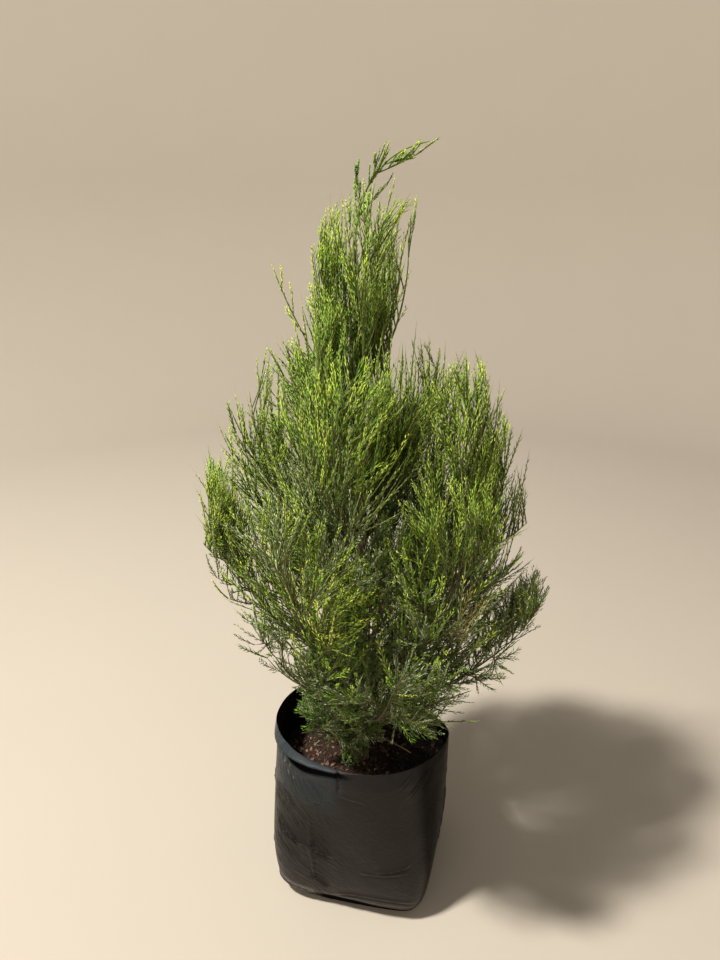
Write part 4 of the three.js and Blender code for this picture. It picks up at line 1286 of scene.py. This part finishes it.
def grow_shoots(mass, curves):
    """Shoots along every twig at golden turns, long at its foot and short at its end, and one that
    goes on from the twig's tip. Some are whips, which are longer and reach further out. Gives their
    masses, curves and sizes, which are whips, and their seeds, the long whip's at the end."""
    added = strongest(FULL, curve_point(curves, JUDGED + 0 * mass))
    counts = (of_tier("shoots", mass) * (1 + added)).astype(int)
    twig = np.repeat(np.arange(len(mass)), counts)
    number = ranks(counts)
    share = lerp(*SHOOT_SHARES, (number + 0.5) / counts[twig])
    last = number == counts[twig] - 1
    share[last] = SHOOT_ON[0]
    kept = last | (chance(twig, number, 26) >= strongest(THIN, curve_point(curves[twig], share)))
    twig, number, share, last = twig[kept], number[kept], share[kept], last[kept]
    own = mass[twig]
    climb = of_tier("climb", own)
    whip = chance(twig, number, 17) < lerp(0.5, 1.5, share) * lerp(*WHIPS, climb)
    size = of_tier("shoot", own) * lerp(1.1, 0.9, share) * lerp(0.7, 1.3, chance(twig, number, 6))
    size *= np.where(whip, WHIP_LENGTH, 1) * (1 + FULLER[1] * added[twig])
    spread = np.radians(of_tier("spread", own)) * lerp(0.7, 1.3, chance(twig, number, 7))
    spread[last] = np.radians(SHOOT_ON[1])
    vary = lerp(0.4, 1.4, chance(twig, number, 18))
    way = (
        GOLDEN_TURN * (number + 5 * twig), spread, (SHOOT_CLIMB[0] + SHOOT_CLIMB[1] * climb) * vary,
        of_tier("lift", own) * vary, of_tier("wander", own) * (2 * chance(twig, number, 19) - 1),
    )
    pick = chance(twig, number, 20)
    inside = SHOOT_WITHIN * pick * (1 - FULLER[0] * np.minimum(1, added[twig]))
    within = np.where(whip, lerp(*WHIP_WITHIN, pick), inside)
    grown, grew = grow(
        own, curve_point(curves[twig], share), curve_axis(curves[twig], share), way, size, within,
        -SPACE["overlap"], CLEAR_SHOOT, TRIES_SHOOT)
    seed = twig * 97 + number
    column = 0 * np.arange(len(STRAYS)) + [m["title"] for m in MASSES].index("column_1")
    return (
        np.concatenate([own[grew], column]), np.concatenate([grown[grew], STRAYS]),
        np.concatenate([size[grew], 0 * column + STRAY_SIZE]), np.concatenate([whip[grew], column > 0]),
        np.concatenate([seed[grew], column + np.arange(len(STRAYS))]),
    )


def branchlet_rows(mass, curves, size, whip, seed, settings):
    """Rows of slender spindles on alternate sides of every shoot, pressed towards its tip, so that it
    makes a wand. They shorten over its last third. Those of the lower tiers stand off more and curl.
    Gives the spindles' first points, rings and last points, and each one's share of its shoot."""
    count = settings.branchlets
    number = np.arange(count)
    start, end = BRANCHLET_SHARES
    share = lerp(start, np.where(whip, WHIP_BARE, end)[:, None], (number + 0.5) / count)
    place = curve_point(curves[:, None], share)
    axis = curve_axis(curves[:, None], share)
    item = seed[:, None] + 0 * number

    def pick(use):
        """Each branchlet's own number from 0 to 1 for a use."""
        return chance(item % 1013, number + item // 1013, use)

    stray = of_tier("wander", mass)[:, None]
    turn = chance(seed, 1, 8)[:, None] * 2 * math.pi + math.pi * number + 1.3 * (pick(9) - 0.5)
    least, most, straying = BRANCHLET_OFF
    spread = np.radians(lerp(least, most, pick(10)) + straying * stray * pick(21))
    direction = leaving(axis, turn, spread, 0 * spread + 0.08)
    grown = lerp(0.6, 1.15, chance(seed, 2, 11)) * np.minimum(1, size / 0.07) * np.where(whip, 0.85, 1)
    none, fade = BRANCHLET_FADE
    length = grown[:, None] * np.clip((none - share) / fade, 0, 1) * lerp(0.6, 1.3, pick(12))
    length = (settings.branchlet * length)[..., None]
    middle = place + direction * 0.45 * length
    curl = across(direction, 9 * pick(22)) * (1.2 * stray * (pick(23) - 0.3))[..., None]
    tip = middle + unit(direction + 0.4 * axis + 0.08 * UP + curl) * 0.6 * length
    side = across(direction, turn * 1.7)
    width = settings.width * lerp(0.8, 1.15, pick(24))[..., None, None]
    around = np.arange(SPINDLE_SIDES) * 2 * math.pi / SPINDLE_SIDES
    ring = circles(middle, side, np.cross(direction, side), 0.5 * width, around)
    return place.reshape(-1, 3), ring.reshape(-1, 1, SPINDLE_SIDES, 3), tip.reshape(-1, 3), share


def deal_tones(curves, seed, share):
    """A tone for every branchlet. It brightens towards its shoot's tip, the crown's outline and the top,
    and deepens towards the trunk: the tips are lighter as new growth, and the outline and the top partly as
    painted sunlight. More and more of the shoots low in the crown are greyish, which is painted shade, with
    a pale branchlet here and there."""
    points = curve_point(curves, 0.5 + 0 * seed)
    x, y, z = points.T
    fresh = strongest(FRESHER, points)
    out = np.hypot(x, y) / crown_radius(z, np.arctan2(y, x))
    high = np.clip((z - 0.35) / 1.0, 0, 1)
    own = lerp(*LIGHT["shoot"], high) * (chance(seed, 3, 13) - 0.5)
    light = LIGHT["all"] + LIGHT["out"] * out + LIGHT["high"] * high + own
    light = light - LIGHT["low"] * ease((0.78 - z) / 0.30) + LIGHT["fresh"] * fresh
    number = np.arange(share.shape[1])
    fleck = chance(seed[:, None] % 1013, number + seed[:, None] // 1013, 25)
    light = light[:, None] + LIGHT["tip"] * (share - 0.45) + LIGHT["own"] * (fleck - 0.5)
    tone = np.digitize(-light, [-step for step in DARKER])
    greyer = np.maximum(np.interp(z, GREYISH_AT, GREYISH_SHARE), strongest(GREYER, points)) - fresh
    grey = (chance(seed, 4, 14) < greyer)[:, None] & (tone > 0)
    tone = np.where(grey, np.where(fleck > 1 - PALE_SHARE, PALE, GREYISH), tone)
    tone[np.linalg.norm(points - DEAD_TUFT["place"], axis=-1) < DEAD_TUFT["radius"]] = DEAD
    return tone.ravel()


def in_parts(points, faces, around, rows):
    """Splits joined skins, each with rows of points round it, into meshes under the limit. Such a skin
    has 2 around rows triangles."""
    per_item = 2 * around * rows
    items = len(faces) // per_item
    parts = -(-items * per_item // PIECE_FACES)
    size = len(points) // items
    cuts = np.linspace(0, items, parts + 1).astype(int)
    for a, b in zip(cuts[:-1], cuts[1:]):
        yield points[a * size:b * size], faces[a * per_item:b * per_item] - a * size


class CYPRESS_OT_foliage(bpy.types.Operator):
    """Grows every mass of foliage: woody twigs, green shoots, and rows of branchlets by tone"""
    bl_idname = "cypress.foliage"
    bl_label = "Twigs and foliage"

    def execute(self, context):
        settings = context.scene.cypress_foliage
        bark = context.scene.cypress_bark
        nodes = [f"foliage_{m['title']}" for m in MASSES]
        mass, curves, radius = grow_twigs()
        stems = np.array([stretch(m["path"], max(0, m["tier"]["bare"] - STEM_SUNK), 1) for m in MASSES])
        foot = np.array([stem_radius(m["tier"], 0) for m in MASSES])
        wood = together([
            tubes(stems, foot, 0 * foot + 0.5 * STEM_TIP_RADIUS, STEM_SIDES, STEM_ROWS),
            tubes(curves, radius, 0 * radius + TWIG_TIP_RADIUS, TWIG_SIDES, TWIG_ROWS),
        ])
        looks = surface("twig_bark", mottled, bark.twig, MOTTLES["twig_bark"], False, bark.young_twig)
        make_piece("twigs", *wood, looks, "bark", nodes)
        mass, shoots, size, whip, seed = grow_shoots(mass, curves)
        radii = [np.where(whip, *pair) for pair in zip(WHIP_RADII, SHOOT_RADII)]
        axes = tubes(shoots, *radii, SHOOT_SIDES, SHOOT_ROWS)
        scales = MOTTLES["leaf_scales"]
        looks = surface("shoot_scales", mottled, settings.shoot, scales)
        for i, part in enumerate(in_parts(*axes, SHOOT_SIDES, SHOOT_ROWS), 1):
            make_piece(f"shoots_{i}", *part, looks, "foliage", nodes)
        first, rings, last, share = branchlet_rows(mass, shoots, size, whip, seed, settings)
        tone = deal_tones(shoots, seed, share)
        for i, name in enumerate(TONES):
            chosen = tone == i
            if not chosen.any():
                continue
            looks = surface(f"leaf_scales_{name}", mottled, getattr(settings, name), scales)
            sprays = skins(rings[chosen], first[chosen], last[chosen])
            for number, part in enumerate(in_parts(*sprays, SPINDLE_SIDES, 1), 1):
                make_piece(f"sprays_{name}_{number}", *part, looks, "foliage", nodes)
        return {"FINISHED"}


# Stage
# The floor: radius of its flat part, radius of the sweep at its edge, height of the wall, points round it
FLOOR = {"flat": 3.4, "sweep": 1.6, "wall": 4.6, "around": 96}
# Round lights: place, what they are turned towards, diameter, power in watts, and linear colour
LIGHTS = {
    "key": ((-2.75, -1.1, 5.7), (0, 0, 0.8), 0.6, 700, (1.0, 0.965, 0.90)),
    "front": ((-1.5, -3.2, 1.7), (0, 0, 0.5), 2.0, 12, (1.0, 0.98, 0.95)),
}
SKY = {"Color": (0.90, 0.95, 1.0, 1.0), "Strength": 0.26}


def add_light(name, place, target, size, power, colour):
    """A round area light at a place, turned towards a target."""
    data = bpy.data.lights.new(name, "AREA")
    data.shape = "DISK"
    data.size = size
    data.energy = power
    data.color = colour
    light = add_object(name, data)
    light.location = place
    away = np.array(place) - np.array(target)
    light.rotation_euler = (math.acos(away[2] / np.linalg.norm(away)), 0, math.atan2(away[0], -away[1]))


def floor_mesh():
    """A disc whose edge sweeps up into a wall: a profile of radius and height carried round the axis."""
    flat, sweep, wall, around = FLOOR.values()
    arc = np.radians(np.linspace(0, 90, 16))
    radius = np.concatenate([[0.5, 1.5, 2.5], flat + sweep * np.sin(arc), [flat + sweep]])[:, None]
    z = np.concatenate([[0, 0, 0], sweep * (1 - np.cos(arc)), [wall]])[:, None]
    turn = np.arange(around) * 2 * math.pi / around
    rings = np.stack([radius * np.cos(turn), radius * np.sin(turn), z + 0 * turn], -1)
    i = np.arange(around)
    n = (i + 1) % around
    low = (1 + around * np.arange(len(radius) - 1))[:, None]
    sides = np.stack([low + i, low + around + i, low + around + n, low + n], -1).reshape(-1, 4)
    hub = np.stack([0 * i, 1 + i, 1 + n], -1)
    mesh = bpy.data.meshes.new("floor")
    points = np.concatenate([[[0, 0, 0]], rings.reshape(-1, 3)])
    mesh.from_pydata(points.tolist(), [], sides.tolist() + hub.tolist())
    mesh.shade_smooth()
    return mesh


class CYPRESS_OT_stage(bpy.types.Operator):
    """Sets a pale floor that sweeps up all round, soft studio light and the photograph's camera"""
    bl_idname = "cypress.stage"
    bl_label = "Stage"

    def execute(self, context):
        settings = context.scene.cypress_stage
        floor = add_object("floor", floor_mesh())
        looks = surface("plain_floor", mottled, settings.floor, MOTTLES["plain_floor"])
        floor.data.materials.append(looks)
        for name, looks in LIGHTS.items():
            add_light(name, *looks)
        context.scene.world = bpy.data.worlds.new("studio")
        context.scene.world.use_nodes = True
        for name, value in SKY.items():
            context.scene.world.node_tree.nodes["Background"].inputs[name].default_value = value
        camera = add_object("camera", bpy.data.cameras.new("camera"))
        camera.data.lens = settings.lens
        camera.data.sensor_width = 36
        camera.location = (0, -settings.distance, settings.height)
        camera.rotation_euler = (math.radians(90) - settings.pitch, 0, 0)
        bpy.context.scene.camera = camera
        context.scene.view_settings.view_transform = "Standard"
        return {"FINISHED"}


OPERATORS = (
    CYPRESS_OT_planter_bag, CYPRESS_OT_potting_mix, CYPRESS_OT_trunk_and_boughs, CYPRESS_OT_foliage,
    CYPRESS_OT_stage,
)
SETTINGS = {
    "cypress_bag": BagSettings, "cypress_mix": MixSettings, "cypress_bark": BarkSettings,
    "cypress_foliage": FoliageSettings, "cypress_stage": StageSettings,
}


class CYPRESS_PT_sidebar(bpy.types.Panel):
    """Lists the pieces of the plant and their settings"""
    bl_label = "Cypress Pine"
    bl_space_type = "VIEW_3D"
    bl_region_type = "UI"
    bl_category = "Cypress Pine"

    def draw(self, context):
        for operator in OPERATORS:
            self.layout.operator(operator.bl_idname)
        for name in SETTINGS:
            group = getattr(context.scene, name)
            box = self.layout.box()
            for key in group.bl_rna.properties.keys():
                if key not in ("rna_type", "name"):
                    box.prop(group, key)


def register():
    """Registers the settings, the operators and the panel."""
    for name, group in SETTINGS.items():
        bpy.utils.register_class(group)
        setattr(bpy.types.Scene, name, bpy.props.PointerProperty(type=group))
    for shown in (*OPERATORS, CYPRESS_PT_sidebar):
        bpy.utils.register_class(shown)


def unregister():
    """Takes all of that out again, in the opposite order."""
    for shown in (CYPRESS_PT_sidebar, *reversed(OPERATORS)):
        bpy.utils.unregister_class(shown)
    for name, group in reversed(SETTINGS.items()):
        delattr(bpy.types.Scene, name)
        bpy.utils.unregister_class(group)


def main():
    register()
    bpy.ops.cypress.planter_bag()
    bpy.ops.cypress.potting_mix()
    bpy.ops.cypress.trunk_and_boughs()
    bpy.ops.cypress.foliage()
    bpy.ops.cypress.stage()


if __name__ == "__main__":
    main()
